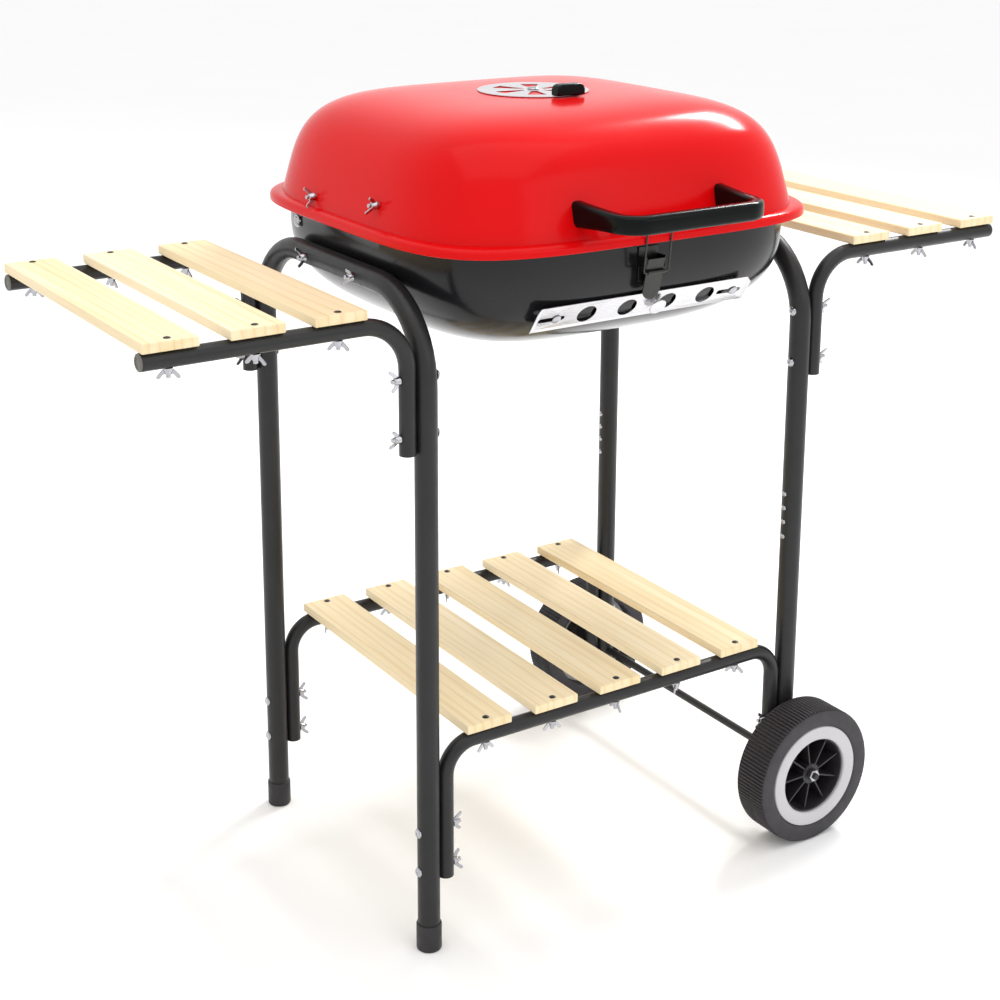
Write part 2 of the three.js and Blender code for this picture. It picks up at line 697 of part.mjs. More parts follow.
function addHingeArm(side) {
  const joints = [PIVOT, ...LID_BOLTS];
  const near = side.sign * HINGE_ARM.inner;
  const far = side.sign * HINGE_ARM.outer;
  const discs = joints.map(({ y, z }) => rod(HINGE_ARM.width / 2, point(near, y, z), point(far, y, z), 20));
  const links = joints.slice(1).map((to, i) => {
    const from = joints[i];
    const length = Math.hypot(to.y - from.y, to.z - from.z);
    const middle = (near + far) / 2;
    const half = HINGE_ARM.width / 2;
    const thick = (HINGE_ARM.outer - HINGE_ARM.inner) / 2;
    const link = box(point(-thick, 0, -half), point(thick, length, half));
    return link.rotateX(Math.atan2(to.z - from.z, to.y - from.y)).translate(middle, from.y, from.z);
  });
  const holes = joints.map(({ y, z }, i) => {
    const radius = (i === 0 ? PIVOT.shank : BOLT.shank) + GAP;
    return rod(radius, point(near - 5, y, z), point(far + 5, y, z));
  });
  addPiece(`${side.name}_hinge_arm`, cut(join([...discs, ...links]), holes), "chrome");
}

function addPivot(side) {
  const at = (x) => point(side.sign * x, PIVOT.y, PIVOT.z);
  const inside = HINGE_ARM.inner - GAP;
  const outside = PIVOT.flange + 2;
  const eyelet = join([
    rod(PIVOT.shank, at(inside - 3), at(outside)),
    rod(PIVOT.shank + 3, at(inside - 3), at(inside)),
    rod(PIVOT.shank + 4, at(PIVOT.flange), at(outside), 20),
  ]);
  addPiece(`${side.name}_pivot_eyelet`, eyelet, "chrome");
}

function addLidBolts() {
  SIDES.forEach((side) =>
    LID_BOLTS.forEach((bolt) => {
      const headEnd = HINGE_ARM.inner - GAP;
      const nutStart = lidWallX(bolt.z - WING_NUT.radius) + GAP;
      const places = { headStart: headEnd - 3, headEnd, nutStart, turn: Math.PI / 2 };
      const at = (x) => point(side.sign * x, bolt.y, bolt.z);
      const spacerEnd = lidWallX(bolt.z + BOLT.head) - SHEET - 2.5;
      const spacer = rod(BOLT.head, at(HINGE_ARM.outer + GAP), at(spacerEnd));
      const bolted = join([spacer, ...crossBolt(side.sign, bolt.y, bolt.z, places)]);
      addPiece(`${side.name}_${bolt.name}_lid_bolt`, bolted, "chrome");
    }),
  );
}

function addVent() {
  const bottom = LID_TOP + GAP;
  const centre = (z) => point(0, 0, z);
  const blank = rod(VENT_RADIUS, centre(bottom), centre(bottom + VENT_SHEET), 40);
  const rivetHole = rod(VENT_RIVET.shank + GAP, centre(bottom - 5), centre(bottom + 5));
  addPiece("vent_disc", cut(blank, [...ventSectors(bottom - 5, 10, VENT_TURN), rivetHole]), "chrome");

  const top = bottom + VENT_SHEET;
  addPiece("vent_knob", ventKnob(top + GAP), "plastic");
  const rivet = join([
    rod(VENT_RIVET.shank, centre(LID_TOP - SHEET - 3), centre(top + 3)),
    rod(VENT_RIVET.head, centre(top + GAP), centre(top + 3)),
    rod(VENT_RIVET.head, centre(LID_TOP - SHEET - 3), centre(LID_TOP - SHEET - GAP)),
  ]);
  addPiece("vent_rivet", rivet, "chrome");
}

function ventKnob(bottom) {
  const { length, depth, height, bevel } = VENT_KNOB;
  const half = length / 2;
  const outline = [
    [-half, 0], [half, 0], [half, height - bevel], [half - bevel, height],
    [bevel - half, height], [-half, height - bevel],
  ].map(([across, up]) => new THREE.Vector2(across, up));
  const knob = new THREE.ExtrudeGeometry(new THREE.Shape(outline), { depth, bevelEnabled: false });
  return knob.rotateX(Math.PI / 2).translate(VENT_KNOB.x, VENT_KNOB.y + depth / 2, bottom);
}

// A bar on two arms, of one rectangular section all along, its roots cut to the slope of the lid's wall.
function addHandle() {
  const root = HANDLE_SINK - LID_HALF.y;
  const bar = HANDLE_SECTION.depth / 2 - HANDLE.front;
  const lean = HANDLE.lean;
  const corners = [
    point(-HANDLE.halfSpan - lean, root, 0),
    point(-HANDLE.halfSpan, bar, 0),
    point(HANDLE.halfSpan, bar, 0),
    point(HANDLE.halfSpan + lean, root, 0),
  ];
  const stations = bentStations(corners, HANDLE_SECTION.corner, 4);
  stations[0].tangent.set(0, -1, 0);
  stations[stations.length - 1].tangent.set(0, 1, 0);
  const h = HANDLE_SECTION.height / 2;
  const d = HANDLE_SECTION.depth / 2;
  const c = HANDLE_SECTION.chamfer;
  const outline = [
    [h, -d + c], [h, d - c], [h - c, d], [c - h, d], [-h, d - c], [-h, c - d], [c - h, -d], [h - c, -d],
  ].map(([x, y]) => new THREE.Vector2(x, y));
  const handle = new THREE.ExtrudeGeometry(new THREE.Shape(outline), {
    steps: stations.length - 1,
    extrudePath: new StationPath(stations),
  });
  const lidFace = shell(domeRings(lidDome(-GAP)));
  addPiece("lid_handle", cut(handle.translate(HANDLE.x, 0, HANDLE.z), [lidFace]), "plastic");
}

// Damper

function slotPath(x) {
  const end = (DAMPER_SLOT.length - DAMPER_SLOT.width) / 2;
  const radius = DAMPER_SLOT.width / 2;
  const path = new THREE.Path();
  path.absarc(x + end, 0, radius, -Math.PI / 2, Math.PI / 2, false);
  path.absarc(x - end, 0, radius, Math.PI / 2, (3 * Math.PI) / 2, false);
  path.closePath();
  return path;
}

function addDamper() {
  const { surface, tilt } = damperSeat();
  const half = DAMPER.length / 2;
  const high = DAMPER.height / 2;
  const cutBack = 5;
  const outline = new THREE.Shape([
    new THREE.Vector2(-half, -high + cutBack),
    new THREE.Vector2(cutBack - half, -high),
    new THREE.Vector2(half - cutBack, -high),
    new THREE.Vector2(half, -high + cutBack),
    new THREE.Vector2(half, high - cutBack),
    new THREE.Vector2(half - cutBack, high),
    new THREE.Vector2(cutBack - half, high),
    new THREE.Vector2(-half, high - cutBack),
  ]);
  DAMPER_HOLES.forEach((x) =>
    outline.holes.push(new THREE.Path().absarc(x, 0, DAMPER_HOLE_RADIUS, 0, 2 * Math.PI, true)),
  );
  [-1, 1].forEach((sign) => outline.holes.push(slotPath(sign * DAMPER_SLOT.x)));
  const options = { depth: DAMPER.sheet, bevelEnabled: false, curveSegments: 8 };
  const plate = new THREE.ExtrudeGeometry(outline, options);
  plate.translate(0, 0, DAMPER.standoff).rotateX(Math.PI / 2 + tilt);
  plate.translate(DAMPER.x, surface.y, surface.z);
  const front = DAMPER.standoff + DAMPER.sheet;
  const post = seatRod(DAMPER_TAB.post, DAMPER.x + DAMPER_TAB.postX, front - 1, front + DAMPER_TAB.height);
  const tab = seatRod(
    DAMPER_TAB.radius,
    DAMPER.x + DAMPER_TAB.x,
    front + DAMPER_TAB.height - 2,
    front + DAMPER_TAB.height,
    20,
  );
  addPiece("damper_slider", join([plate, post, tab]), "chrome");
  SIDES.forEach((side) => {
    const x = side.sign * DAMPER_SLOT.x;
    const rivet = join([
      seatRod(RIVET.shank, x, front + GAP + 2, -RIVET.inside),
      seatRod(RIVET.head, x, front + GAP, front + GAP + 2),
    ]);
    addPiece(`damper_${side.name}_rivet`, rivet, "chrome");
  });
}

// Latch

// A rod across the latch, at a place in front of the bowl.
function latchRod(radius, { y, z }, half, sides = TUBE_SIDES) {
  return rod(radius, point(LATCH.x - half, y, z), point(LATCH.x + half, y, z), sides);
}

function addLatchBracket() {
  const { x, halfWidth, low, high, sheet } = LATCH;
  const back = -(BOWL_HALF.y + GAP);
  const plate = box(point(x - halfWidth, back - sheet, low), point(x + halfWidth, back, high));
  const ears = [-1, 1].map((sign) => {
    const edge = x + sign * halfWidth;
    const inner = edge - sign * sheet;
    const reach = LATCH_PIN.y - EAR.past;
    return box(
      point(Math.min(edge, inner), reach, LATCH_PIN.z - EAR.half),
      point(Math.max(edge, inner), back, LATCH_PIN.z + EAR.half),
    );
  });
  const pin = latchRod(LATCH_PIN.radius, LATCH_PIN, halfWidth - sheet / 2);
  addPiece("latch_bracket", join([plate, ...ears, pin]), "chrome");
}

function addLatchLever() {
  const { x, leverHalf, sheet } = LATCH;
  const barrel = latchRod(LATCH_PIN.radius + 2.4, LATCH_PIN, leverHalf, 16);
  const eye = latchRod(WIRE_PIN.radius + 2.2, WIRE_PIN, leverHalf, 16);
  const length = Math.hypot(LEVER_TIP.y - LATCH_PIN.y, LEVER_TIP.z - LATCH_PIN.z);
  const hang = Math.atan2(LEVER_TIP.y - LATCH_PIN.y, LATCH_PIN.z - LEVER_TIP.z);
  const outline = new THREE.Shape();
  outline.moveTo(leverHalf, 0);
  outline.lineTo(-leverHalf, 0);
  outline.lineTo(-leverHalf, leverHalf - length);
  outline.absarc(0, leverHalf - length, leverHalf, Math.PI, 2 * Math.PI, false);
  outline.closePath();
  const blade = new THREE.ExtrudeGeometry(outline, { depth: sheet, bevelEnabled: false, curveSegments: 8 });
  const front = -LATCH_PIN.radius - 2.2;
  blade.rotateX(Math.PI / 2).translate(0, front + sheet, 0).rotateX(hang);
  blade.translate(x, LATCH_PIN.y, LATCH_PIN.z);
  const holes = [
    latchRod(LATCH_PIN.radius + GAP, LATCH_PIN, leverHalf + 1),
    latchRod(WIRE_PIN.radius + GAP, WIRE_PIN, leverHalf + 1),
  ];
  addPiece("latch_lever", cut(join([blade, barrel, eye]), holes), "chrome");
}

function addLatchWire() {
  const { x, wireHalf, leverHalf } = LATCH;
  const at = (dx, place) => point(x + dx, place.y, place.z);
  const end = leverHalf - 4;
  const corners = [
    at(-end, WIRE_PIN),
    at(-wireHalf, WIRE_PIN),
    at(-wireHalf, WIRE_TOP),
    at(wireHalf, WIRE_TOP),
    at(wireHalf, WIRE_PIN),
    at(end, WIRE_PIN),
  ];
  const options = { stepsPerBend: 3, sides: 8 };
  addPiece("latch_wire", bentTube(corners, 3, WIRE_PIN.radius, options), "darkWire");
}

// Grates

// A level wire loop with bars from front to back and two stays beneath them.
function grate({ half, exponent, z, bars }) {
  const loop = grateLoop(half, exponent, z);
  const reachY = (x) => half.y * (1 - Math.abs(x / half.x) ** exponent) ** (1 / exponent);
  const reachX = (y) => half.x * (1 - Math.abs(y / half.y) ** exponent) ** (1 / exponent);
  const pitch = (2 * half.x) / (bars + 1);
  const rods = Array.from({ length: bars }, (_, i) => {
    const x = (i + 1) * pitch - half.x;
    const y = reachY(x);
    return rod(GRATE.bar, point(x, -y, z), point(x, y, z), 5);
  });
  [-1, 1].forEach((sign) => {
    const y = sign * half.y * 0.5;
    const x = reachX(y);
    rods.push(rod(GRATE.bar, point(-x, y, z - GRATE.bar), point(x, y, z - GRATE.bar), 5));
  });
  return join([loop, ...rods]);
}

function grateLoop(half, exponent, z) {
  const count = 32;
  const section = Array.from({ length: 6 }, (_, i) => {
    const angle = (Math.PI * i) / 3;
    return [GRATE.frame * Math.cos(angle), GRATE.frame * Math.sin(angle)];
  });
  const bulge = (value) => Math.sign(value) * Math.abs(value) ** (2 / exponent);
  const positions = [];
  const index = [];
  for (let i = 0; i < count; i += 1) {
    const angle = (2 * Math.PI * (i + 0.5)) / count;
    const out = new THREE.Vector2(Math.cos(angle), Math.sin(angle));
    const middle = new THREE.Vector2(half.x * bulge(out.x), half.y * bulge(out.y));
    section.forEach(([across, up]) => {
      positions.push(middle.x + out.x * across, middle.y + out.y * across, z + up);
    });
    for (let k = 0; k < section.length; k += 1) {
      const a = i * section.length + k;
      const b = i * section.length + ((k + 1) % section.length);
      const c = (a + section.length) % (count * section.length);
      const d = (b + section.length) % (count * section.length);
      index.push(a, c, d, a, d, b);
    }
  }
  const geometry = new THREE.BufferGeometry();
  geometry.setAttribute("position", new THREE.Float32BufferAttribute(positions, 3));
  geometry.setIndex(index);
  return facingOut(geometry);
}

function addGrates() {
  addPiece("cooking_grate", grate(COOKING_GRATE), "chrome");
  addPiece("charcoal_grate", grate(CHARCOAL_GRATE), "chrome");
}

SIDES.forEach(addLegFrame);
ENDS.forEach(addFootCap);
SIDES.forEach(addSideShelf);
addLowerShelf();
addWheels();
addBowl();
addBowlBolts();
addGrates();
addLid();
SIDES.forEach(addHingeArm);
SIDES.forEach(addPivot);
addLidBolts();
addVent();
addHandle();
addDamper();
addLatchBracket();
addLatchLever();
addLatchWire();

// The outer box runs from the handle's front to the end of the rear axle nut.
const CENTRE_SHIFT = (HANDLE.front - AXLE_NUT.end) / 2;
grill.children.forEach((mesh) => mesh.geometry.translate(0, CENTRE_SHIFT, 0));

export default grill;
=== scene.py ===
"""Looks for a trolley charcoal grill: fine visual meshes, procedural materials, camera and studio light.

Shapes are laid out in millimetres about the middle of the four legs at floor level, as in the CAD model,
and become metres in the model's own frame when a piece is made.
"""
import math
import random

import bmesh
import bpy
from mathutils import Matrix, Vector


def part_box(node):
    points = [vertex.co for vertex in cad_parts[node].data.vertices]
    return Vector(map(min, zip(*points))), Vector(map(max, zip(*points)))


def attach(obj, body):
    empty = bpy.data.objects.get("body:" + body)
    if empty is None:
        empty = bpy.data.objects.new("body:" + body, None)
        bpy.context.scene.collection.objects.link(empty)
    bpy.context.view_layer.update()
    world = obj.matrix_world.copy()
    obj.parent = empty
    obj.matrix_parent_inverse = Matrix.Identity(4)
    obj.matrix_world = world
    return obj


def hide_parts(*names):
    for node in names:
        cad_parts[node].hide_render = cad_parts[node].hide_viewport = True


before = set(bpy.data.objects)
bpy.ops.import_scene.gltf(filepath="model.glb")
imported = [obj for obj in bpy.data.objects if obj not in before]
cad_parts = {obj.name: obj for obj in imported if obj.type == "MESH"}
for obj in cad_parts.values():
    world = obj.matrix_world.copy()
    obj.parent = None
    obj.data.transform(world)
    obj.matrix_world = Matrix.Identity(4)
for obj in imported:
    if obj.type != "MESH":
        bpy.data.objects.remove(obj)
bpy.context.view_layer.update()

MM = 0.001
axle_low, axle_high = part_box("axle")
SHIFT_Y = (axle_low[1] + axle_high[1]) / 2  # the legs' middle, in the model's frame

# Layout dimensions, in millimetres, as in the CAD model
GAP = 0.35  # left between pieces that touch
SHEET = 2  # pressed steel of the bowl and the lid

LEG_X = 260  # the legs stand at plus and minus this
LEG_Y = 189
LEG_RADIUS = 12.7
LEG_TOP = 753  # centreline of the bar that joins two legs
LEG_BEND = 95
TUBE_WALL = 1.6
TUBE_BLOCK = 14  # how far in from its ends a tube is open
FOOT_FLOOR = 4  # rubber under the tube
FOOT_HEIGHT = 32
FOOT_RADIUS = 14.4

SHELF_TUBE_RADIUS = 9.2
SHELF_TUBE_X = LEG_X + LEG_RADIUS + SHELF_TUBE_RADIUS + GAP
SHELF_TOP = 754
SHELF_TUBE_END = 572
SHELF_TUBE_FOOT = 589
SHELF_BEND = 52
LOWER_TUBE_X = LEG_X - LEG_RADIUS - SHELF_TUBE_RADIUS - GAP
LOWER_TOP = 263
LOWER_TUBE_FOOT = 84
LOWER_BEND = 36
PLUG_DEPTH = 10

SLAT_WIDTH = 59
SLAT_LENGTH = 397
SLAT_THICKNESS = 10.6
SLAT_EDGE = 1.5  # rounding of a slat's edges
SIDE_SLATS = 3
SIDE_PITCH = 91
SIDE_OVERHANG = 1  # the outer slat's edge stands this far past the tube's end
LOWER_SLATS = 5
LOWER_PITCH = 90.5
LOWER_SHIFT = -4  # the lower slats sit a little towards the left legs

WHEEL_RADIUS = 87
WHEEL_FACE = 254  # from the middle of the grill to the wheel's outer face
WHEEL_WIDTH = 49
TYRE_INNER = 65.5
TREAD_RIBS = 118
RIB_DEPTH = 2.4
RING_DEPTH = 30
HUB_RADIUS = 48
HUB_WALL = 4
HUB_BOSS = 14
HUB_FIN_TOP = 246
HUB_INSET = 3  # the hub's inner edge, from the tyre's
HUB_RIM = 4  # the hub's outer edge, from the wheel's face
WEB_OUTER = 224
WEB_INNER = 220
FIN_COUNT = 9
FIN_THICKNESS = 2.2
AXLE_RADIUS = 5
AXLE_END = 256.6
THREAD_RADIUS = 4.1
NUT_RADIUS = 8.1
NUT_START = 246.4
NUT_FACE = 253.4

BOWL_HALF = (248.5, 238)
BOWL_SHOULDER = 781
BOWL_DEPTH = 122
BOWL_ROUNDNESS = 2.6
BOWL_CORNERS = (4.2, 3.2)  # squareness in plan at the edge and at the pole
BOWL_RIM = 804.8
LIP_START = 796
LIP_HALF = (251.5, 243.75)
LIP_Y = -5.25  # the lip reaches further to the front

LID_HALF = (256, 246)
LID_RIM_HALF = (267, 256)
LID_RIM_CORNER = 4.5
LID_BASE = 808
LID_TOP = 929.5
LID_ROUNDNESS = 4.6
LID_TAPER = 0.11
LID_CORNERS = (4.2, 6)

VENT_RADIUS = 65
VENT_SHEET = 1.2
VENT_RIVET = 3
VENT_TURN = math.radians(2)
VENT_INNER = 13
VENT_OUTER = 49
VENT_ANGLE = math.radians(27)
VENT_COUNT = 6
VENT_STEP = 2 * math.pi / VENT_COUNT
KNOB_X = 5
KNOB_Y = -64
KNOB_LENGTH = 38
KNOB_DEPTH = 14
KNOB_HEIGHT = 13
KNOB_BEVEL = 6

PIVOT_Y = 125
PIVOT_Z = 780
HINGE_ARM = (236.5, 239)  # the hinge arm's inner and outer face
EYELET_START = 233.15
LID_BOLT_START = 233.1
LID_BOLTS = {"rear": (65, 819), "front": (-74, 832)}
BOWL_BOLTS = {"rear": 55, "front": -57}
BOWL_BOLT_HEAD = (218, 241)  # long enough for the cooking grate to rest on
BOLT_HEAD_RADIUS = 6
BOLT_RADIUS = 3
SPACER_CLEARANCE = 2.5  # between a lid bolt's spacer and the lid
NUT_REACH = 5.5  # a lid bolt's nut clears the leaning wall this far below its middle
REAR_NUT_TURN = 0.3
FRONT_NUT_TURN = -0.5

HANDLE_X = -8
HANDLE_Z = 834
HANDLE_FRONT = 328
HANDLE_HALF = 88
HANDLE_LEAN = 7  # how much further out each arm's root is
HANDLE_HEIGHT = 20
HANDLE_DEPTH = 16
HANDLE_CORNER = 24
HANDLE_SINK = 12  # how far the arms run into the lid before they are cut to it
HANDLE_DEEPER = 0.42  # growth of the arms' height towards their roots
HANDLE_STRAIGHT = 12  # length of arm that keeps the bar's height

DAMPER_X = -6
DAMPER_Z = 722
DAMPER_LENGTH = 290
DAMPER_HEIGHT = 38
DAMPER_SHEET = 1.2
DAMPER_CUT = 5  # cut corners
DAMPER_HOLES = (-75, -21, 33, 87)
DAMPER_HOLE = 12
DAMPER_TRAVEL = 20
DAMPER_SLOT_X = 121
DAMPER_TAB_X = 17
DAMPER_FLARE = 5.5
DAMPER_FLARE_ANGLE = math.radians(30)
DAMPER_FOLD = 6.5
DAMPER_FOLD_ANGLE = math.radians(12)
SLOT_LENGTH = 34
SLOT_WIDTH = 6.6

GRATE_RIM_WIRE = 3
GRATE_WIRE = 2
COOKING_GRATE = {"half": (226, 216), "squareness": 4.2, "bars": 13}
CHARCOAL_GRATE = {"half": (199, 190), "squareness": 3.6, "bars": 9}

# Places in the latch are (y, z)
LATCH_X = -11
PIN = (-250, 775)
WIRE_PIN = (-253.6, 764)
WIRE_TOP = (-258.6, 810)
HOOK_REACH = 11
LEVER_HALF = 11.5
LEVER_TIP = (-240, 733)
WIRE_HALF = 16.5
WIRE_RADIUS = 1.1
BRACKET_HALF = 13
BRACKET_LOW = 752
BRACKET_HIGH = 790
BRACKET_SHEET = 1.6
EAR_INNER = 12
EAR_OUTER = 13.6

SHELF_BOLT_HEIGHTS = (671, 608)
LOWER_BOLT_HEIGHTS = (146, 98)
SMALL_SCREW_HEIGHTS = (441, 423, 405, 386)
BOLT_SPIN = 0.5  # a wing nut on a tube is at most this far from level
SET_IN = 0.2  # how far a nut is set into what it holds
HEAD_SET_IN = 0.3
NUT_EDGE = 0.35  # rounding of a wing nut's edges
BOLT_EDGE = 0.3
WING_SHEET = 1.7
SEED = 5

# Stage, in metres: a light's place, what it faces, its size and its power
GRILL_MIDDLE = (0, 0, 0.6)
LIGHTS = {
    "top_softbox": ((-0.4, -0.6, 3.4), GRILL_MIDDLE, (3.6, 3.2), 34),
    "front_softbox": ((1.2, -3.6, 2.2), GRILL_MIDDLE, (2.6, 2.0), 12),
    "shoulder_strip": ((2.6, 0.9, 2.9), (0.1, -0.2, 0.85), (1.5, 0.4), 90),
}
FLOOR_REACH = 40
CAMERA_PLACE = (-1.1758, -1.7317, 1.2043)
CAMERA_AZIMUTH = math.radians(-33.15)
CAMERA_ELEVATION = math.radians(14.13)
CAMERA_ROLL = math.radians(-0.24)
CAMERA_LENS = 64.78
CAMERA_SHIFT = -0.2

DOT_RADIUS = 0.02  # the ends of a turned shape on its axis
POLE_SPREAD = 0.0005  # a dome's first ring, as a share of its edge

SIDES = (("left", -1), ("right", 1))
ENDS = (("front", -1), ("rear", 1))
X, Y, Z = Vector((1, 0, 0)), Vector((0, 1, 0)), Vector((0, 0, 1))


# Materials

class Nodes:
    """A node material built up by short calls, around one Principled shader."""

    def __init__(self, name, **constants):
        self.material = bpy.data.materials.new(name)
        self.material.use_nodes = True
        self.tree = self.material.node_tree
        self.shader = self.tree.nodes["Principled BSDF"]
        for key, value in constants.items():
            self.shader.inputs[key.replace("_", " ")].default_value = value
        self.coordinates = self.tree.nodes.new("ShaderNodeTexCoord").outputs["Object"]

    def link(self, output, node, key):
        self.tree.links.new(output, node.inputs[key])

    def stretched(self, scale):
        node = self.tree.nodes.new("ShaderNodeMapping")
        node.inputs["Scale"].default_value = scale
        self.link(self.coordinates, node, "Vector")
        return node.outputs["Vector"]

    def noise(self, scale, detail=3.0, distortion=0.0, stretch=None):
        node = self.tree.nodes.new("ShaderNodeTexNoise")
        node.inputs["Scale"].default_value = scale
        node.inputs["Detail"].default_value = detail
        node.inputs["Distortion"].default_value = distortion
        self.link(self.stretched(stretch) if stretch else self.coordinates, node, "Vector")
        return node.outputs["Fac"]

    def wave(self, scale, distortion, stretch):
        node = self.tree.nodes.new("ShaderNodeTexWave")
        node.inputs["Scale"].default_value = scale
        node.inputs["Distortion"].default_value = distortion
        node.inputs["Detail"].default_value = 3
        node.inputs["Detail Scale"].default_value = 1.4
        self.link(self.stretched(stretch), node, "Vector")
        return node.outputs["Fac"]

    def ramp(self, value, stops):
        node = self.tree.nodes.new("ShaderNodeValToRGB")
        elements = node.color_ramp.elements
        while len(elements) < len(stops):
            elements.new(0.5)
        for element, (place, color) in zip(elements, stops):
            element.position = place
            element.color = (*color, 1)
        self.link(value, node, "Fac")
        return node.outputs["Color"]

    def spread(self, value, low, high):
        node = self.tree.nodes.new("ShaderNodeMapRange")
        node.inputs["To Min"].default_value = low
        node.inputs["To Max"].default_value = high
        node.inputs["From Min"].default_value = 0.3
        node.inputs["From Max"].default_value = 0.7
        self.link(value, node, "Value")
        return node.outputs["Result"]

    def multiply(self, first, second, amount):
        node = self.tree.nodes.new("ShaderNodeMix")
        node.data_type = "RGBA"
        node.blend_type = "MULTIPLY"
        node.inputs["Factor"].default_value = amount
        colors = [socket for socket in node.inputs if socket.type == "RGBA"]
        self.tree.links.new(first, colors[0])
        self.tree.links.new(second, colors[1])
        return next(socket for socket in node.outputs if socket.type == "RGBA")

    def bump(self, height, distance, strength=1.0):
        node = self.tree.nodes.new("ShaderNodeBump")
        node.inputs["Distance"].default_value = distance
        node.inputs["Strength"].default_value = strength
        self.link(height, node, "Height")
        self.link(node.outputs["Normal"], self.shader, "Normal")

    def color(self, output):
        self.link(output, self.shader, "Base Color")

    def roughness(self, output):
        self.link(output, self.shader, "Roughness")


def srgb(red, green, blue):
    """A colour given as 0-255 display values, as the linear values a shader takes."""
    def linear(value):
        share = value / 255
        return share / 12.92 if share <= 0.04045 else ((share + 0.055) / 1.055) ** 2.4
    return tuple(linear(value) for value in (red, green, blue))


def enamel(name, low, high, gloss):
    """Glossy porcelain enamel: a faint mottle in the colour and a soft orange peel."""
    nodes = Nodes(name, Specular_IOR_Level=gloss)
    nodes.color(nodes.ramp(nodes.noise(5, 4), [(0.35, low), (0.65, high)]))
    nodes.roughness(nodes.spread(nodes.noise(24, 3), 0.17, 0.2))
    nodes.bump(nodes.noise(260, 2), 0.00001)
    return nodes.material


def powder_coat(name, low, high):
    """Semi-gloss powder coat: an even colour with a fine pebbled surface."""
    nodes = Nodes(name, Specular_IOR_Level=0.35)
    nodes.color(nodes.ramp(nodes.noise(18, 4), [(0.35, low), (0.65, high)]))
    nodes.roughness(nodes.spread(nodes.noise(60, 3), 0.3, 0.42))
    nodes.bump(nodes.noise(900, 2), 0.00004)
    return nodes.material


def pale_wood(name):
    """Planed softwood, its grain running from front to back."""
    nodes = Nodes(name, Coat_Weight=0.12, Coat_Roughness=0.35)
    tone = nodes.ramp(
        nodes.noise(1, 5, 0.8, (26, 1.3, 26)),
        [(0.3, srgb(232, 210, 166)), (0.5, srgb(239, 220, 181)), (0.72, srgb(245, 229, 196))],
    )
    rings = nodes.ramp(
        nodes.wave(1, 7, (26, 1.1, 9)),
        [(0.0, srgb(232, 212, 178)), (0.16, srgb(250, 245, 236)), (1.0, (1, 1, 1))],
    )
    fibres_value = nodes.noise(1, 4, 0.0, (900, 14, 900))
    fibres = nodes.ramp(fibres_value, [(0.3, srgb(240, 234, 218)), (0.6, (1, 1, 1))])
    nodes.color(nodes.multiply(nodes.multiply(tone, rings, 0.4), fibres, 0.5))
    nodes.roughness(nodes.spread(fibres_value, 0.5, 0.62))
    nodes.bump(fibres_value, 0.00012, 0.6)
    return nodes.material


def bright_metal(name, tone, rough, stretch=None, streaks=120.0):
    """Plated steel: fine streaks along the sheet where it is rolled, a soft mottle elsewhere."""
    nodes = Nodes(name, Metallic=1.0)
    grain = nodes.noise(streaks, 4, 0.0, stretch)
    dim = tuple(value * 0.93 for value in tone)
    nodes.color(nodes.ramp(nodes.noise(35, 4), [(0.3, dim), (0.7, tone)]))
    nodes.roughness(nodes.spread(grain, rough * 0.8, rough * 1.3))
    nodes.bump(grain, 0.00002)
    return nodes.material


def moulded(name, low, high, rough, grain, gloss=0.4):
    """Moulded plastic or rubber with a fine textured skin."""
    nodes = Nodes(name, Specular_IOR_Level=gloss)
    nodes.color(nodes.ramp(nodes.noise(30, 4), [(0.35, low), (0.65, high)]))
    nodes.roughness(nodes.spread(nodes.noise(90, 3), rough * 0.88, rough * 1.12))
    nodes.bump(nodes.noise(grain, 2), 0.00005)
    return nodes.material


MATERIALS = {
    "red_enamel": enamel("red_enamel", srgb(206, 6, 10), srgb(209, 7, 11), 0.13),
    "black_enamel": enamel("black_enamel", srgb(22, 22, 24), srgb(25, 25, 27), 0.32),
    "tube_steel": powder_coat("tube_steel", srgb(30, 30, 30), srgb(35, 34, 35)),
    "wood": pale_wood("wood"),
    "tyre": moulded("tyre", srgb(50, 48, 51), srgb(56, 53, 57), 0.6, 700),
    "wheel_ring": moulded("wheel_ring", srgb(186, 184, 187), srgb(190, 188, 191), 0.42, 500),
    "black_plastic": moulded("black_plastic", srgb(34, 31, 34), srgb(40, 37, 40), 0.4, 900),
    "gloss_plastic": moulded("gloss_plastic", srgb(2, 6, 6), srgb(3, 9, 8), 0.16, 900, 0.14),
    "foot_rubber": moulded("foot_rubber", srgb(34, 32, 34), srgb(44, 42, 44), 0.5, 700),
    "tube_plug": moulded("tube_plug", srgb(92, 90, 85), srgb(108, 106, 100), 0.5, 700),
    "zinc": bright_metal("zinc", srgb(182, 182, 187), 0.16),
    "plated_steel": bright_metal("plated_steel", srgb(220, 219, 222), 0.24, (4, 90, 90), 8.0),
    "dark_wire": bright_metal("dark_wire", srgb(70, 70, 68), 0.34),
    "grate_steel": bright_metal("grate_steel", srgb(205, 205, 208), 0.26),
}


# Shapes

class Shape:
    """Points and faces in layout millimetres, gathered before they become one piece."""

    def __init__(self, points=(), faces=()):
        self.points = [Vector(point) for point in points]
        self.faces = [tuple(face) for face in faces]

    def add(self, other, matrix=Matrix()):
        base = len(self.points)
        mirrored = matrix.determinant() < 0
        self.points += [matrix @ point for point in other.points]
        for face in other.faces:
            order = reversed(face) if mirrored else face
            self.faces.append(tuple(base + corner for corner in order))
        return self

    def moved(self, matrix):
        return Shape().add(self, matrix)


def gathered(*shapes):
    whole = Shape()
    for shape in shapes:
        whole.add(shape)
    return whole


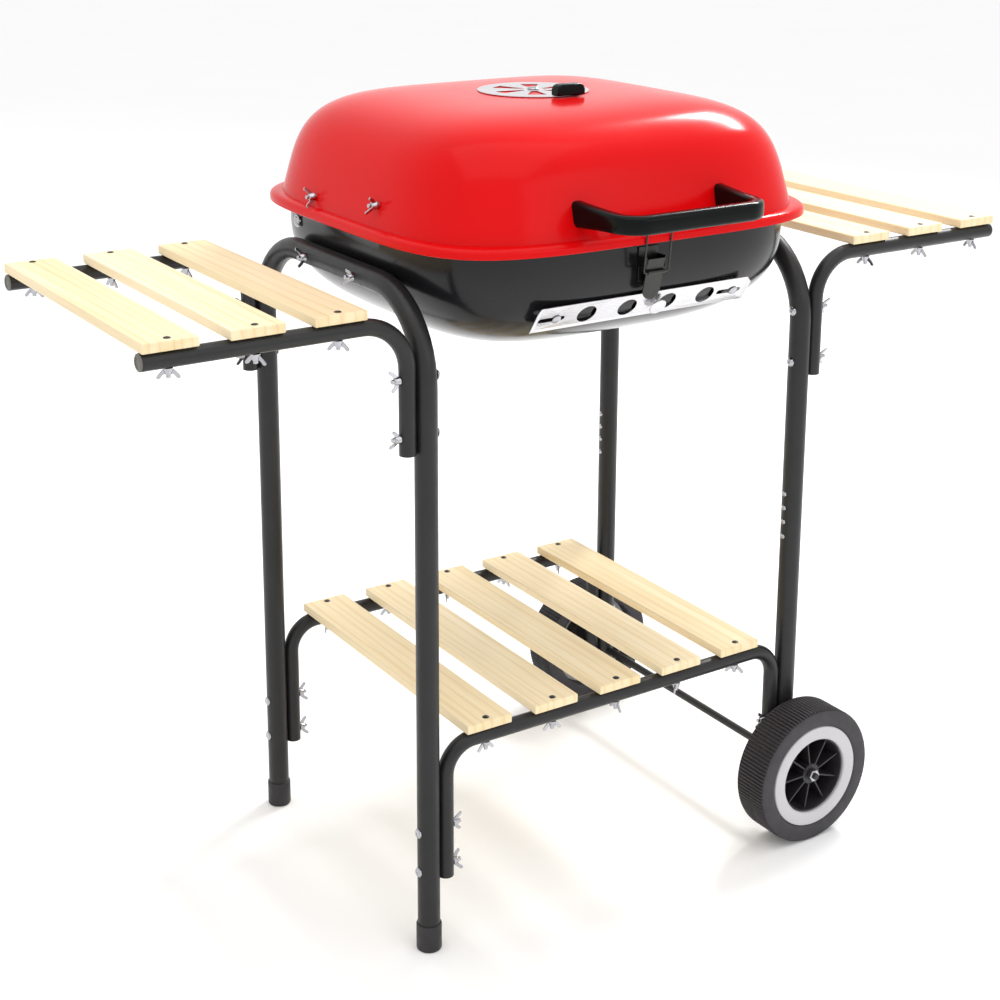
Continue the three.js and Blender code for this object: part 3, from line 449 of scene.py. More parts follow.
def loops(rings, closed=False, caps=True):
    """A skin over rings of equal length; the end rings are capped, or the last joins the first."""
    count = len(rings[0])
    points = [point for ring in rings for point in ring]
    faces = []
    spans = len(rings) if closed else len(rings) - 1
    for row in range(spans):
        here = row * count
        there = ((row + 1) % len(rings)) * count
        for i in range(count):
            j = (i + 1) % count
            faces.append((here + i, here + j, there + j, there + i))
    if caps and not closed:
        faces.append(tuple(reversed(range(count))))
        faces.append(tuple((len(rings) - 1) * count + i for i in range(count)))
    return Shape(points, faces)


def lathe(profile, segments):
    """A turned shape about Z through (radius, height) points; a radius of 0 is drawn as a dot."""
    closed = profile[0] == profile[-1]
    rows = profile[:-1] if closed else profile
    rings = []
    for radius, height in rows:
        r = max(radius, DOT_RADIUS)
        turns = [2 * math.pi * i / segments for i in range(segments)]
        rings.append([(r * math.cos(turn), r * math.sin(turn), height) for turn in turns])
    return loops(rings, closed=closed)


def aimed(direction, place):
    """A matrix that turns Z to a direction and moves the origin to a place."""
    turn = Z.rotation_difference(Vector(direction)).to_matrix().to_4x4()
    return Matrix.Translation(Vector(place)) @ turn


def prism(outline, depth):
    """A flat outline in X and Z, given depth along Y about the middle."""
    rings = [[(x, y, z) for x, z in outline] for y in (-depth / 2, depth / 2)]
    return loops(rings)


def block(low, high):
    (x0, y0, z0), (x1, y1, z1) = low, high
    return loops([[(x0, y0, z), (x1, y0, z), (x1, y1, z), (x0, y1, z)] for z in (z0, z1)])


def bent(corners, bend, steps=12):
    """Stations, each a point and a direction, along a line whose inner corners are rounded."""
    corners = [Vector(corner) for corner in corners]
    stations = [(corners[0], (corners[1] - corners[0]).normalized())]
    for before, corner, after in zip(corners, corners[1:], corners[2:]):
        into = (corner - before).normalized()
        out = (after - corner).normalized()
        angle = into.angle(out)
        start = corner - into * bend * math.tan(angle / 2)
        inward = (out - into * math.cos(angle)).normalized()
        centre = start + inward * bend
        for k in range(steps + 1):
            turn = angle * k / steps
            place = centre - inward * bend * math.cos(turn) + into * bend * math.sin(turn)
            stations.append((place, into * math.cos(turn) + inward * math.sin(turn)))
    stations.append((corners[-1], (corners[-1] - corners[-2]).normalized()))
    return stations


def section_ring(place, along, normal, outline, scale=(1, 1)):
    side = along.cross(normal).normalized()
    return [place + normal * a * scale[0] + side * b * scale[1] for a, b in outline]


def circle(radius, sides=28):
    turns = [2 * math.pi * i / sides for i in range(sides)]
    return [(radius * math.cos(turn), radius * math.sin(turn)) for turn in turns]


def rounded_rectangle(height, width, corner, steps=5):
    outline = []
    for quarter in range(4):
        sign_a = 1 if quarter in (0, 3) else -1
        sign_b = 1 if quarter in (0, 1) else -1
        for k in range(steps + 1):
            turn = math.pi / 2 * (quarter + k / steps)
            a = sign_a * (height / 2 - corner) + corner * math.cos(turn)
            b = sign_b * (width / 2 - corner) + corner * math.sin(turn)
            outline.append((a, b))
    return outline


def tube(corners, bend, radius, normal):
    """A bent tube with open ends, blocked a little way in."""
    stations = bent(corners, bend)
    outer = circle(radius)
    inner = circle(radius - TUBE_WALL)
    (first, first_way), (last, last_way) = stations[0], stations[-1]
    rings = [section_ring(first + first_way * TUBE_BLOCK, first_way, normal, inner)]
    rings.append(section_ring(first, first_way, normal, inner))
    rings += [section_ring(place, along, normal, outer) for place, along in stations]
    rings.append(section_ring(last, last_way, normal, inner))
    rings.append(section_ring(last - last_way * TUBE_BLOCK, last_way, normal, inner))
    return loops(rings)


def wire(corners, bend, radius, normal, steps=8):
    """A round wire through the corners, its section's frame carried along without twisting."""
    rings = []
    before = None
    for place, along in bent(corners, bend, steps):
        if before is not None:
            normal = before.rotation_difference(along) @ normal
        before = along
        rings.append(section_ring(place, along, normal, circle(radius, 16)))
    return loops(rings)


def plan_ring(half, squareness, z, y=0.0, count=168):
    """A level superellipse ring."""
    def bulge(value):
        return math.copysign(abs(value) ** (2 / squareness), value)
    turns = [2 * math.pi * i / count for i in range(count)]
    return [(half[0] * bulge(math.cos(t)), y + half[1] * bulge(math.sin(t)), z) for t in turns]


def dome_rings(half, edge, pole, roundness, corners, taper=0.0, steps=36):
    """Rings from the pole to the edge of a dome whose walls lean in by the taper on their way up."""
    rings = []
    for k in range(steps + 1):
        turn = math.pi / 2 * k / steps
        spread = max(math.sin(turn) ** (2 / roundness), POLE_SPREAD)
        rise = max(math.cos(turn), 0.0) ** (2 / roundness)
        lean = 1 - taper * rise
        size = (half[0] * spread * lean, half[1] * spread * lean)
        squareness = corners[1] + (corners[0] - corners[1]) * spread
        rings.append(plan_ring(size, squareness, edge + (pole - edge) * rise))
    return rings


def shrunk(half, by):
    return (half[0] - by, half[1] - by)


# Pieces

def mesh_from(name, shape):
    mesh = bpy.data.meshes.new(name)
    points = [(point.x * MM, point.y * MM + SHIFT_Y, point.z * MM) for point in shape.points]
    mesh.from_pydata(points, [], shape.faces)
    mesh.validate()
    return mesh


def smooth(mesh, degrees=32):
    mesh.polygons.foreach_set("use_smooth", [True] * len(mesh.polygons))
    mesh.set_sharp_from_angle(angle=math.radians(degrees))


def make(name, shape, slot, body, stands_for=(), bevel=0.0, cutters=None, look=None):
    """One finished piece: its mesh, its material, its body and the nodes it stands for."""
    obj = bpy.data.objects.new(name, mesh_from(name, shape))
    bpy.context.scene.collection.objects.link(obj)
    if cutters:
        carve(obj, cutters)
    if bevel:
        modifier = obj.modifiers.new("edges", "BEVEL")
        modifier.width = bevel * MM
        modifier.segments = 3
        modifier.limit_method = "ANGLE"
        modifier.angle_limit = math.radians(30)
    smooth(obj.data)
    obj.data.materials.clear()
    obj.data.materials.append(MATERIALS[look or slot])
    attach(obj, body)
    if stands_for:
        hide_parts(*stands_for)
    return obj


def carve(obj, cutters):
    """Cuts the cutters' shape out of an object's mesh."""
    tool = bpy.data.objects.new("cutter", mesh_from("cutter", cutters))
    bpy.context.scene.collection.objects.link(tool)
    modifier = obj.modifiers.new("cut", "BOOLEAN")
    modifier.operation = "DIFFERENCE"
    modifier.solver = "EXACT"
    modifier.object = tool
    graph = bpy.context.evaluated_depsgraph_get()
    graph.update()
    cut = bpy.data.meshes.new_from_object(obj.evaluated_get(graph))
    obj.modifiers.clear()
    obj.data = cut
    bpy.data.objects.remove(tool)


def flat_sheet(outlines, thickness, edge=0.25):
    """A sheet in the X-Y plane, from z = 0 up, with holes where later outlines lie inside the first."""
    curve = bpy.data.curves.new("sheet", "CURVE")
    curve.dimensions = "2D"
    curve.fill_mode = "BOTH"
    curve.extrude = thickness / 2 - edge
    curve.bevel_depth = edge
    curve.bevel_resolution = 1
    curve.offset = -edge
    for outline in outlines:
        spline = curve.splines.new("POLY")
        spline.points.add(len(outline) - 1)
        for point, (x, y) in zip(spline.points, outline):
            point.co = (x, y, 0, 1)
        spline.use_cyclic_u = True
    holder = bpy.data.objects.new("sheet", curve)
    bpy.context.scene.collection.objects.link(holder)
    graph = bpy.context.evaluated_depsgraph_get()
    graph.update()
    mesh = bpy.data.meshes.new_from_object(holder.evaluated_get(graph))
    points = [vertex.co + Z * thickness / 2 for vertex in mesh.vertices]
    shape = Shape(points, [face.vertices for face in mesh.polygons])
    bpy.data.objects.remove(holder)
    bpy.data.meshes.remove(mesh)
    return shape


def folded(shape, along, start, angle):
    """The shape with the part past a line, start along the direction, folded up out of the sheet."""
    builder = bmesh.new()
    corners = [builder.verts.new(point) for point in shape.points]
    for face in shape.faces:
        builder.faces.new([corners[i] for i in face])
    along = Vector(along)
    geometry = builder.verts[:] + builder.edges[:] + builder.faces[:]
    bmesh.ops.bisect_plane(builder, geom=geometry, plane_co=along * start, plane_no=along)
    for vertex in builder.verts:
        past = vertex.co.dot(along) - start
        if past > 0:
            vertex.co.z += past * math.tan(angle)
    builder.verts.index_update()
    points = [vertex.co.copy() for vertex in builder.verts]
    faces = [[vertex.index for vertex in face.verts] for face in builder.faces]
    builder.free()
    return Shape(points, faces)


def arc(x, y, radius, start, end, steps=24):
    turns = [start + (end - start) * i / steps for i in range(steps + 1)]
    return [(x + radius * math.cos(turn), y + radius * math.sin(turn)) for turn in turns]


def ring(x, y, radius, steps=40):
    return arc(x, y, radius, 0, 2 * math.pi, steps)[:-1]


# Fasteners

def wing_nut():
    """A wing nut standing on z = 0, with the bolt's end showing through it."""
    hub = lathe([(0, 0), (4.7, 0), (4.7, 1.4), (3.5, 6.4), (2.9, 6.9), (0, 6.9)], 24)
    bolt_end = lathe([(0, 6), (2.4, 6), (2.4, 9.6), (2, 10.2), (0, 10.2)], 16)
    wing = [
        (2.2, 1), (5, 1.6), (8.6, 5.2), (11.2, 8.4), (11.6, 10.2),
        (10.2, 11.4), (8.2, 10.8), (6, 8), (2.6, 5.4),
    ]
    mirrored = [(-x, z) for x, z in reversed(wing)]
    return gathered(hub, prism(wing, WING_SHEET), prism(mirrored, WING_SHEET), bolt_end)


def screw_head(radius, height):
    """A domed head on z = 0 with a small driving recess."""
    shares = [
        (0, 0), (1, 0), (1, 0.3), (0.8, 0.8), (0.4, 1), (0.26, 1), (0.1, 0.35), (0, 0.35),
    ]
    return lathe([(radius * out, height * up) for out, up in shares], 24)


def slat_rows():
    """Each shelf's slat middles along X, and the height of its top."""
    outer = SHELF_TUBE_END + SIDE_OVERHANG - SLAT_WIDTH / 2
    right = [outer - i * SIDE_PITCH for i in range(SIDE_SLATS)]
    lower = [LOWER_SHIFT + (i - (LOWER_SLATS - 1) / 2) * LOWER_PITCH for i in range(LOWER_SLATS)]
    return {
        "left": ([-x for x in right], SHELF_TOP),
        "right": (right, SHELF_TOP),
        "lower": (lower, LOWER_TOP),
    }


def add_slat_screws(draw):
    """A screw head on each slat's end, and its wing nut under the tube."""
    nut, head = wing_nut(), screw_head(3.9, 1.2)
    for name, (middles, top) in slat_rows().items():
        screws, nuts = Shape(), Shape()
        under = top - SLAT_THICKNESS - GAP - 2 * SHELF_TUBE_RADIUS
        for x in middles:
            for _, end in ENDS:
                y = end * LEG_Y
                screws.add(head, Matrix.Translation((x, y, top - SET_IN / 2)))
                turn = Matrix.Rotation(draw.uniform(0, math.pi), 4, "Z")
                nuts.add(nut, aimed((0, 0, -1), (x, y, under + SET_IN)) @ turn)
        make(f"{name}_shelf_screws", screws, "dark_wire", "stand")
        make(f"{name}_shelf_wing_nuts", nuts, "zinc", "stand", bevel=NUT_EDGE)


def add_tube_bolts(draw):
    """The bolts that hold the shelf tubes outside the legs and the lower tubes inside them."""
    nut, head = wing_nut(), screw_head(5.6, 3.2)
    heads, nuts = Shape(), Shape()
    inner_face, outer_face = LEG_X - LEG_RADIUS, LEG_X + LEG_RADIUS
    outside = SHELF_TUBE_X + SHELF_TUBE_RADIUS - SET_IN
    inside = LOWER_TUBE_X - SHELF_TUBE_RADIUS + SET_IN
    rows = (
        # heights, the way the nut points, the head's place and the nut's place
        (SHELF_BOLT_HEIGHTS, 1, inner_face + HEAD_SET_IN, outside),
        (LOWER_BOLT_HEIGHTS, -1, outer_face - HEAD_SET_IN, inside),
    )
    for _, side in SIDES:
        for _, end in ENDS:
            for heights, way, head_x, nut_x in rows:
                for z in heights:
                    y = end * LEG_Y
                    heads.add(head, aimed((-side * way, 0, 0), (side * head_x, y, z)))
                    spin = Matrix.Rotation(draw.uniform(-BOLT_SPIN, BOLT_SPIN), 4, "Z")
                    nuts.add(nut, aimed((side * way, 0, 0), (side * nut_x, y, z)) @ spin)
    make("tube_bolt_heads", heads, "zinc", "stand")
    make("tube_wing_nuts", nuts, "zinc", "stand", bevel=NUT_EDGE)


def add_small_screws():
    """The row of small heads inside each right-hand leg."""
    head = screw_head(3.4, 2.0)
    heads = Shape()
    for _, end in ENDS:
        for z in SMALL_SCREW_HEIGHTS:
            heads.add(head, aimed((-1, 0, 0), (LEG_X - LEG_RADIUS + SET_IN, end * LEG_Y, z)))
    make("right_leg_small_screws", heads, "zinc", "stand")


def add_fasteners():
    draw = random.Random(SEED)
    add_slat_screws(draw)
    add_tube_bolts(draw)
    add_small_screws()


def cross_bolt(sign, y, z, head, spacer, nut_start):
    """A bolt along X through the side of the grill, with its head inside and a wing nut outside."""
    along = (sign, 0, 0)
    head_start, head_end = head
    length = head_end - head_start
    reach = nut_start - head_start + 1
    edge, radius = BOLT_HEAD_RADIUS, BOLT_RADIUS
    shoulder = lathe([(0, 0), (edge - 0.4, 0), (edge, 0.8), (edge, length), (0, length)], 32)
    shank = lathe([(0, 0), (radius, 0), (radius, reach), (0, reach)], 20)
    whole = gathered(shoulder, shank).moved(aimed(along, (sign * head_start, y, z)))
    if spacer:
        low, high = spacer
        collar = lathe([(0, 0), (edge, 0), (edge, high - low), (0, high - low)], 28)
        whole.add(collar, aimed(along, (sign * low, y, z)))
    turn = Matrix.Rotation(REAR_NUT_TURN if y > 0 else FRONT_NUT_TURN, 4, "Z")
    return whole.add(wing_nut(), aimed(along, (sign * nut_start, y, z)) @ turn)


def add_cross_bolts():
    for side, sign in SIDES:
        for name, y in BOWL_BOLTS.items():
            node = f"{side}_{name}_bowl_bolt"
            bolt = cross_bolt(sign, y, LEG_TOP, BOWL_BOLT_HEAD, None, LEG_X + LEG_RADIUS)
            make(f"{node}_detail", bolt, "zinc", "stand", [node], bevel=BOLT_EDGE)
        for name, (y, z) in LID_BOLTS.items():
            node = f"{side}_{name}_lid_bolt"
            head = (LID_BOLT_START, HINGE_ARM[0] - GAP)
            spacer_end = lid_wall_x(z + BOLT_HEAD_RADIUS) - SHEET - SPACER_CLEARANCE
            spacer = (HINGE_ARM[1] + GAP, spacer_end)
            bolt = cross_bolt(sign, y, z, head, spacer, lid_wall_x(z - NUT_REACH) + GAP)
            make(f"{node}_detail", bolt, "zinc", "lid", [node], bevel=BOLT_EDGE)
        add_eyelet(side, sign)


def add_eyelet(side, sign):
    """The lid's pivot: a headed sleeve through the arm and the bowl, rolled over outside."""
    profile = [
        (0, 0), (6.6, 0), (7, 0.6), (7, 3), (4, 3), (4, 12.6), (7.6, 12.6),
        (8, 13.1), (7.4, 14.6), (5.2, 15.1), (4.4, 14.4), (3.2, 13.4), (0, 13.2),
    ]
    eyelet = lathe(profile, 40).moved(aimed((sign, 0, 0), (sign * EYELET_START, PIVOT_Y, PIVOT_Z)))
    make(f"{side}_pivot_detail", eyelet, "zinc", "stand", [f"{side}_pivot_eyelet"])


# Frame, shelves and wheels

def add_frame():
    for side, sign in SIDES:
        x = sign * LEG_X
        foot = WHEEL_RADIUS - 2 * LEG_RADIUS if sign > 0 else FOOT_FLOOR + GAP
        corners = [(x, -LEG_Y, foot), (x, -LEG_Y, LEG_TOP), (x, LEG_Y, LEG_TOP), (x, LEG_Y, foot)]
        shape = tube(corners, LEG_BEND, LEG_RADIUS, X)
        make(f"{side}_leg_tube", shape, "tube_steel", "stand", [f"{side}_leg_frame"])
        for end, way in ENDS:
            add_shelf_tube(side, sign, end, way)
    z = LOWER_TOP - SLAT_THICKNESS - GAP - SHELF_TUBE_RADIUS
    for end, way in ENDS:
        y = way * LEG_Y
        x = LOWER_TUBE_X
        corners = [(-x, y, LOWER_TUBE_FOOT), (-x, y, z), (x, y, z), (x, y, LOWER_TUBE_FOOT)]
        shape = tube(corners, LOWER_BEND, SHELF_TUBE_RADIUS, Y)
        make(f"lower_{end}_tube_detail", shape, "tube_steel", "stand", [f"lower_shelf_{end}_tube"])
        cap = lathe(foot_profile(), 40).moved(Matrix.Translation((-LEG_X, y, 0)))
        make(f"{end}_foot_cap_detail", cap, "foot_rubber", "stand", [f"{end}_foot_cap"])


def foot_profile():
    r, h = FOOT_RADIUS, FOOT_HEIGHT
    bore = LEG_RADIUS + 0.2
    return [
        (0, 0), (r - 2, 0), (r - 0.6, 0.5), (r, 1.8), (r, h - 1.6), (r - 0.5, h - 0.4),
        (r - 1.2, h), (bore, h), (bore, h - 3), (0, h - 3),
    ]


def plug_profile():
    r = SHELF_TUBE_RADIUS
    return [
        (0, -PLUG_DEPTH), (r - 2, -PLUG_DEPTH), (r - 2, 0), (r - 0.3, 0), (r, 0.5),
        (r - 0.4, 1.6), (r - 1.6, 2.3), (r - 3, 2.3), (r - 3.8, 1.4), (0, 1.4),
    ]


def add_shelf_tube(side, sign, end, way):
    x, y = sign * SHELF_TUBE_X, way * LEG_Y
    z = SHELF_TOP - SLAT_THICKNESS - GAP - SHELF_TUBE_RADIUS
    tip = sign * SHELF_TUBE_END
    corners = [(tip, y, z), (x, y, z), (x, y, SHELF_TUBE_FOOT)]
    shape = tube(corners, SHELF_BEND, SHELF_TUBE_RADIUS, Y)
    make(f"{side}_{end}_shelf_tube_detail", shape, "tube_steel", "stand", [f"{side}_shelf_{end}_tube"])
    placed = lathe(plug_profile(), 36).moved(aimed((sign, 0, 0), (tip, y, z)))
    make(f"{side}_{end}_plug_detail", placed, "tube_plug", "stand", [f"{side}_{end}_tube_plug"])


def add_slats():
    for name, (middles, top) in slat_rows().items():
        for i, x in enumerate(middles):
            low = (x - SLAT_WIDTH / 2, -SLAT_LENGTH / 2, top - SLAT_THICKNESS)
            high = (x + SLAT_WIDTH / 2, SLAT_LENGTH / 2, top)
            node = f"{name}_slat_{i + 1}"
            make(f"{node}_board", block(low, high), "wood", "stand", [node], bevel=SLAT_EDGE)


def wheel_tyre():
    """A square-shouldered tyre with fine cross ribs on its tread and a seam around the middle."""
    inner = WHEEL_FACE - WHEEL_WIDTH
    edge, r = TYRE_INNER, WHEEL_RADIUS
    # (radius, how far in from the face)
    side = [
        (edge, 2.4), (edge + 0.8, 1.3), (edge + 2.4, 0.6), (edge + 5, 0.4),
        (r - 6, 0.4), (r - 3, 0.7), (r - 1.8, 1.3),
    ]
    tread = [(r - 0.6, 2.6), (r, 4), (r, WHEEL_WIDTH / 2 - 1.2), (r - 0.9, WHEEL_WIDTH / 2)]
    half = [(radius, inset, 0) for radius, inset in side]
    half += [(radius, inset, 1) for radius, inset in tread]
    profile = [(radius, inner + inset, rib) for radius, inset, rib in half]
    profile += [(radius, WHEEL_FACE - inset, rib) for radius, inset, rib in reversed(half[:-1])]
    count = 4 * TREAD_RIBS
    rings = []
    for i in range(count):
        turn = 2 * math.pi * i / count
        groove = RIB_DEPTH if i % 4 in (2, 3) else 0.0
        places = [(radius - groove * rib, height) for radius, height, rib in profile]
        rings.append([(r * math.cos(turn), r * math.sin(turn), height) for r, height in places])
    return loops(rings, closed=True)


def wheel_hub():
    """A cup around a web with a boss through it, and fins on the web."""
    bore = AXLE_RADIUS + GAP
    wall = HUB_RADIUS - HUB_WALL
    leg_face = LEG_Y + LEG_RADIUS + GAP
    inner = WHEEL_FACE - WHEEL_WIDTH + HUB_INSET
    rim = WHEEL_FACE - HUB_RIM
    profile = [
        (bore, leg_face), (HUB_BOSS - 4, leg_face), (HUB_BOSS - 4, WEB_INNER), (wall, WEB_INNER),
        (wall, inner), (HUB_RADIUS, inner), (HUB_RADIUS, rim - 0.6), (HUB_RADIUS - 0.8, rim),
        (HUB_RADIUS - 1.8, rim - 0.6), (wall, HUB_FIN_TOP - 6), (wall - 3, WEB_OUTER),
        (HUB_BOSS + 2, WEB_OUTER), (HUB_BOSS, WEB_OUTER + 2), (HUB_BOSS - 1, HUB_FIN_TOP),
        (bore, HUB_FIN_TOP), (bore, leg_face),
    ]
    hub = lathe(profile, 72)
    half = FIN_THICKNESS / 2
    fin = block((HUB_BOSS - 3, -half, WEB_OUTER - 0.5), (wall + 2, half, HUB_FIN_TOP))
    for i in range(FIN_COUNT):
        hub.add(fin, Matrix.Rotation(2 * math.pi * (i + 0.5) / FIN_COUNT, 4, "Z"))
    return hub


def axle_nut():
    """A six-sided nut; the axle's threaded end shows through it."""
    levels = [(0.94, NUT_START), (1, NUT_START + 0.8), (1, NUT_FACE - 1), (0.88, NUT_FACE)]
    rings = []
    for size, z in levels:
        rings.append([(x, y, z) for x, y in circle(NUT_RADIUS * size, 6)])
    return loops(rings)


def ring_profile():
    low, high = HUB_RADIUS + GAP, TYRE_INNER - GAP
    back, face = WHEEL_FACE - RING_DEPTH, WHEEL_FACE
    return [
        (low, back), (high, back), (high, face - 1.6), (high - 0.6, face - 0.6),
        (high - 1.8, face - 0.2), (high - 5, face), (low + 3, face - 0.3), (low + 1, face - 0.8),
        (low, face - 2), (low, back),
    ]


def axle_rod():
    """A rod along Z with a stepped, threaded end each way."""
    half = [
        (AXLE_RADIUS, NUT_START - 1), (THREAD_RADIUS, NUT_START), (THREAD_RADIUS, AXLE_END - 0.8),
        (THREAD_RADIUS - 0.8, AXLE_END), (0, AXLE_END),
    ]
    return lathe([(radius, -reach) for radius, reach in reversed(half)] + half, 32)


def add_wheels():
    for end, way in ENDS:
        place = aimed((0, way, 0), (LEG_X, 0, WHEEL_RADIUS))
        body = f"{end}_wheel"
        tyre = wheel_tyre().moved(place)
        pale_ring = lathe(ring_profile(), 96).moved(place)
        hub = wheel_hub().moved(place)
        nut = axle_nut().moved(place)
        make(f"{end}_tyre_detail", tyre, "tyre", body, [f"{end}_wheel_tyre"])
        make(f"{end}_ring_detail", pale_ring, "wheel_ring", body, [f"{end}_wheel_ring"])
        make(f"{end}_hub_detail", hub, "black_plastic", body, [f"{end}_wheel_hub"], bevel=0.5)
        make(f"{end}_nut_detail", nut, "zinc", "stand", [f"{end}_axle_nut"], bevel=BOLT_EDGE)
    rod = axle_rod().moved(aimed(Y, (LEG_X, 0, WHEEL_RADIUS)))
    make("axle_rod", rod, "tube_steel", "stand", ["axle"])


# Bowl, damper and grates

def bowl_spread(z):
    drop = (BOWL_SHOULDER - z) / BOWL_DEPTH
    return (1 - drop ** BOWL_ROUNDNESS) ** (1 / BOWL_ROUNDNESS)


def damper_frame():
    """A matrix from the damper's flat layout, x along it and y up it, to its place against the bowl."""
    drop = (BOWL_SHOULDER - DAMPER_Z) / BOWL_DEPTH
    spread = bowl_spread(DAMPER_Z)
    tilt = math.atan(BOWL_HALF[1] / BOWL_DEPTH * (drop / spread) ** (BOWL_ROUNDNESS - 1))
    place = Matrix.Translation((0, -BOWL_HALF[1] * spread, DAMPER_Z))
    return place @ Matrix.Rotation(math.pi / 2 + tilt, 4, "X")


def bowl_dome(by):
    """The bowl's dome, set in from its outer face."""
    pole = BOWL_SHOULDER - BOWL_DEPTH + by
    return dome_rings(shrunk(BOWL_HALF, by), BOWL_SHOULDER, pole, BOWL_ROUNDNESS, BOWL_CORNERS)


def add_bowl():
    corner = BOWL_CORNERS[0]
    inside = shrunk(LIP_HALF, SHEET)
    rim = [
        plan_ring(BOWL_HALF, corner, LIP_START),
        plan_ring(LIP_HALF, corner, LIP_START + 5, LIP_Y),
        plan_ring(LIP_HALF, corner, BOWL_RIM - 0.5, LIP_Y),
        plan_ring(shrunk(LIP_HALF, 0.6), corner, BOWL_RIM, LIP_Y),
        plan_ring(shrunk(inside, -0.5), corner, BOWL_RIM, LIP_Y),
        plan_ring(inside, corner, LIP_START + 6, LIP_Y),
        plan_ring(shrunk(BOWL_HALF, SHEET), corner, LIP_START + 1),
    ]
    shape = loops(bowl_dome(0) + rim + bowl_dome(SHEET)[::-1])
    cutters = Shape()
    seat = damper_frame()
    for x in DAMPER_HOLES:
        hole = lathe([(0, -25), (DAMPER_HOLE, -25), (DAMPER_HOLE, 12), (0, 12)], 48)
        cutters.add(hole, seat @ Matrix.Translation((x + DAMPER_X + DAMPER_TRAVEL, 0, 0)))
    make("bowl_enamel", shape, "black_enamel", "stand", ["charcoal_bowl"], cutters=cutters)


def damper_outlines():
    half, high, cut = DAMPER_LENGTH / 2, DAMPER_HEIGHT / 2, DAMPER_CUT
    edge = [
        (-half, cut - high), (cut - half, -high), (half - cut, -high), (half, cut - high),
        (half, high - cut), (half - cut, high), (cut - half, high), (-half, high - cut),
    ]
    outlines = [edge] + [ring(x, 0, DAMPER_HOLE)[::-1] for x in DAMPER_HOLES]
    straight = (SLOT_LENGTH - SLOT_WIDTH) / 2
    for x in (-DAMPER_SLOT_X, DAMPER_SLOT_X):
        right = arc(x + straight, 0, SLOT_WIDTH / 2, -math.pi / 2, math.pi / 2, 12)
        left = arc(x - straight, 0, SLOT_WIDTH / 2, math.pi / 2, 3 * math.pi / 2, 12)
        outlines.append((right + left)[::-1])
    return outlines


def add_damper():
    seat = damper_frame()
    slide = Matrix.Translation((DAMPER_X, 0, DAMPER_SHEET / 2))
    plate = flat_sheet(damper_outlines(), DAMPER_SHEET)
    for way in (-1, 1):
        plate = folded(plate, (way, 0, 0), DAMPER_LENGTH / 2 - DAMPER_FLARE, DAMPER_FLARE_ANGLE)
    plate = folded(plate, (0, -1, 0), DAMPER_HEIGHT / 2 - DAMPER_FOLD, -DAMPER_FOLD_ANGLE)
    tab = [(0, 0), (3.4, 0), (3.4, 5.4), (9.8, 5.4), (10.4, 5.9), (10.4, 6.6), (9.8, 7.2), (0, 7.5)]
    plate.add(lathe(tab, 48), Matrix.Translation((DAMPER_TAB_X, 0, 1)))
    make("damper_plate", plate.moved(seat @ slide), "plated_steel", "damper", ["damper_slider"])
    rivet = [
        (0, -9), (2.7, -9), (2.7, 2.5), (5.5, 2.5), (5.5, 3.1), (4.2, 4.2), (2, 4.6), (0, 4.6),
    ]
    for side, sign in SIDES:
        placed = lathe(rivet, 32).moved(seat @ Matrix.Translation((sign * DAMPER_SLOT_X, 0, 0)))
        make(f"damper_{side}_rivet_detail", placed, "zinc", "stand", [f"damper_{side}_rivet"])


def grate(half, squareness, bars, z):
    """A rounded-square rim with rods across it, on two cross rods."""
    outline = [Vector(point) for point in plan_ring(half, squareness, z, count=96)]
    rings = []
    for i, place in enumerate(outline):
        along = (outline[(i + 1) % len(outline)] - outline[i - 1]).normalized()
        rings.append(section_ring(place, along, Z, circle(GRATE_RIM_WIRE, 14)))
    shape = loops(rings, closed=True)
    for i in range(bars):
        x = (i + 1) * 2 * half[0] / (bars + 1) - half[0]
        y = half[1] * (1 - abs(x / half[0]) ** squareness) ** (1 / squareness)
        shape.add(wire([(x, -y, z), (x, 0, z), (x, y, z)], 1, GRATE_WIRE, X, 1))
    under = z - GRATE_WIRE
    for y in (-half[1] / 2, half[1] / 2):
        x = half[0] * (1 - 0.5 ** squareness) ** (1 / squareness)
        shape.add(wire([(-x, y, under), (0, y, under), (x, y, under)], 1, GRATE_WIRE, Y, 1))
    return shape


def add_grates():
    rows = (("cooking_grate", COOKING_GRATE, "cooking_grate"), ("charcoal_grate", CHARCOAL_GRATE, "stand"))
    for node, sizes, body in rows:
        low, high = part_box(node)
        wires = grate(**sizes, z=(low[2] + high[2]) / 2 / MM)
        make(f"{node}_wires", wires, "grate_steel", body, [node])


# Lid

def lid_dome(by):
    """The lid's dome, set in from its outer face all round."""
    half, edge, pole = shrunk(LID_HALF, by), LID_BASE - by, LID_TOP - by
    return dome_rings(half, edge, pole, LID_ROUNDNESS, LID_CORNERS, LID_TAPER)


def lid_wall_x(z):
    """Where the lid's outer side wall stands along X at a height."""
    rise = (z - LID_BASE) / (LID_TOP - LID_BASE)
    spread = (1 - rise ** LID_ROUNDNESS) ** (1 / LID_ROUNDNESS)
    return LID_HALF[0] * spread * (1 - LID_TAPER * rise)


def sector(middle):
    """The outline of one vent opening."""
    low, high = middle - VENT_ANGLE / 2, middle + VENT_ANGLE / 2
    return arc(0, 0, VENT_OUTER, low, high, 16) + arc(0, 0, VENT_INNER, high, low, 6)


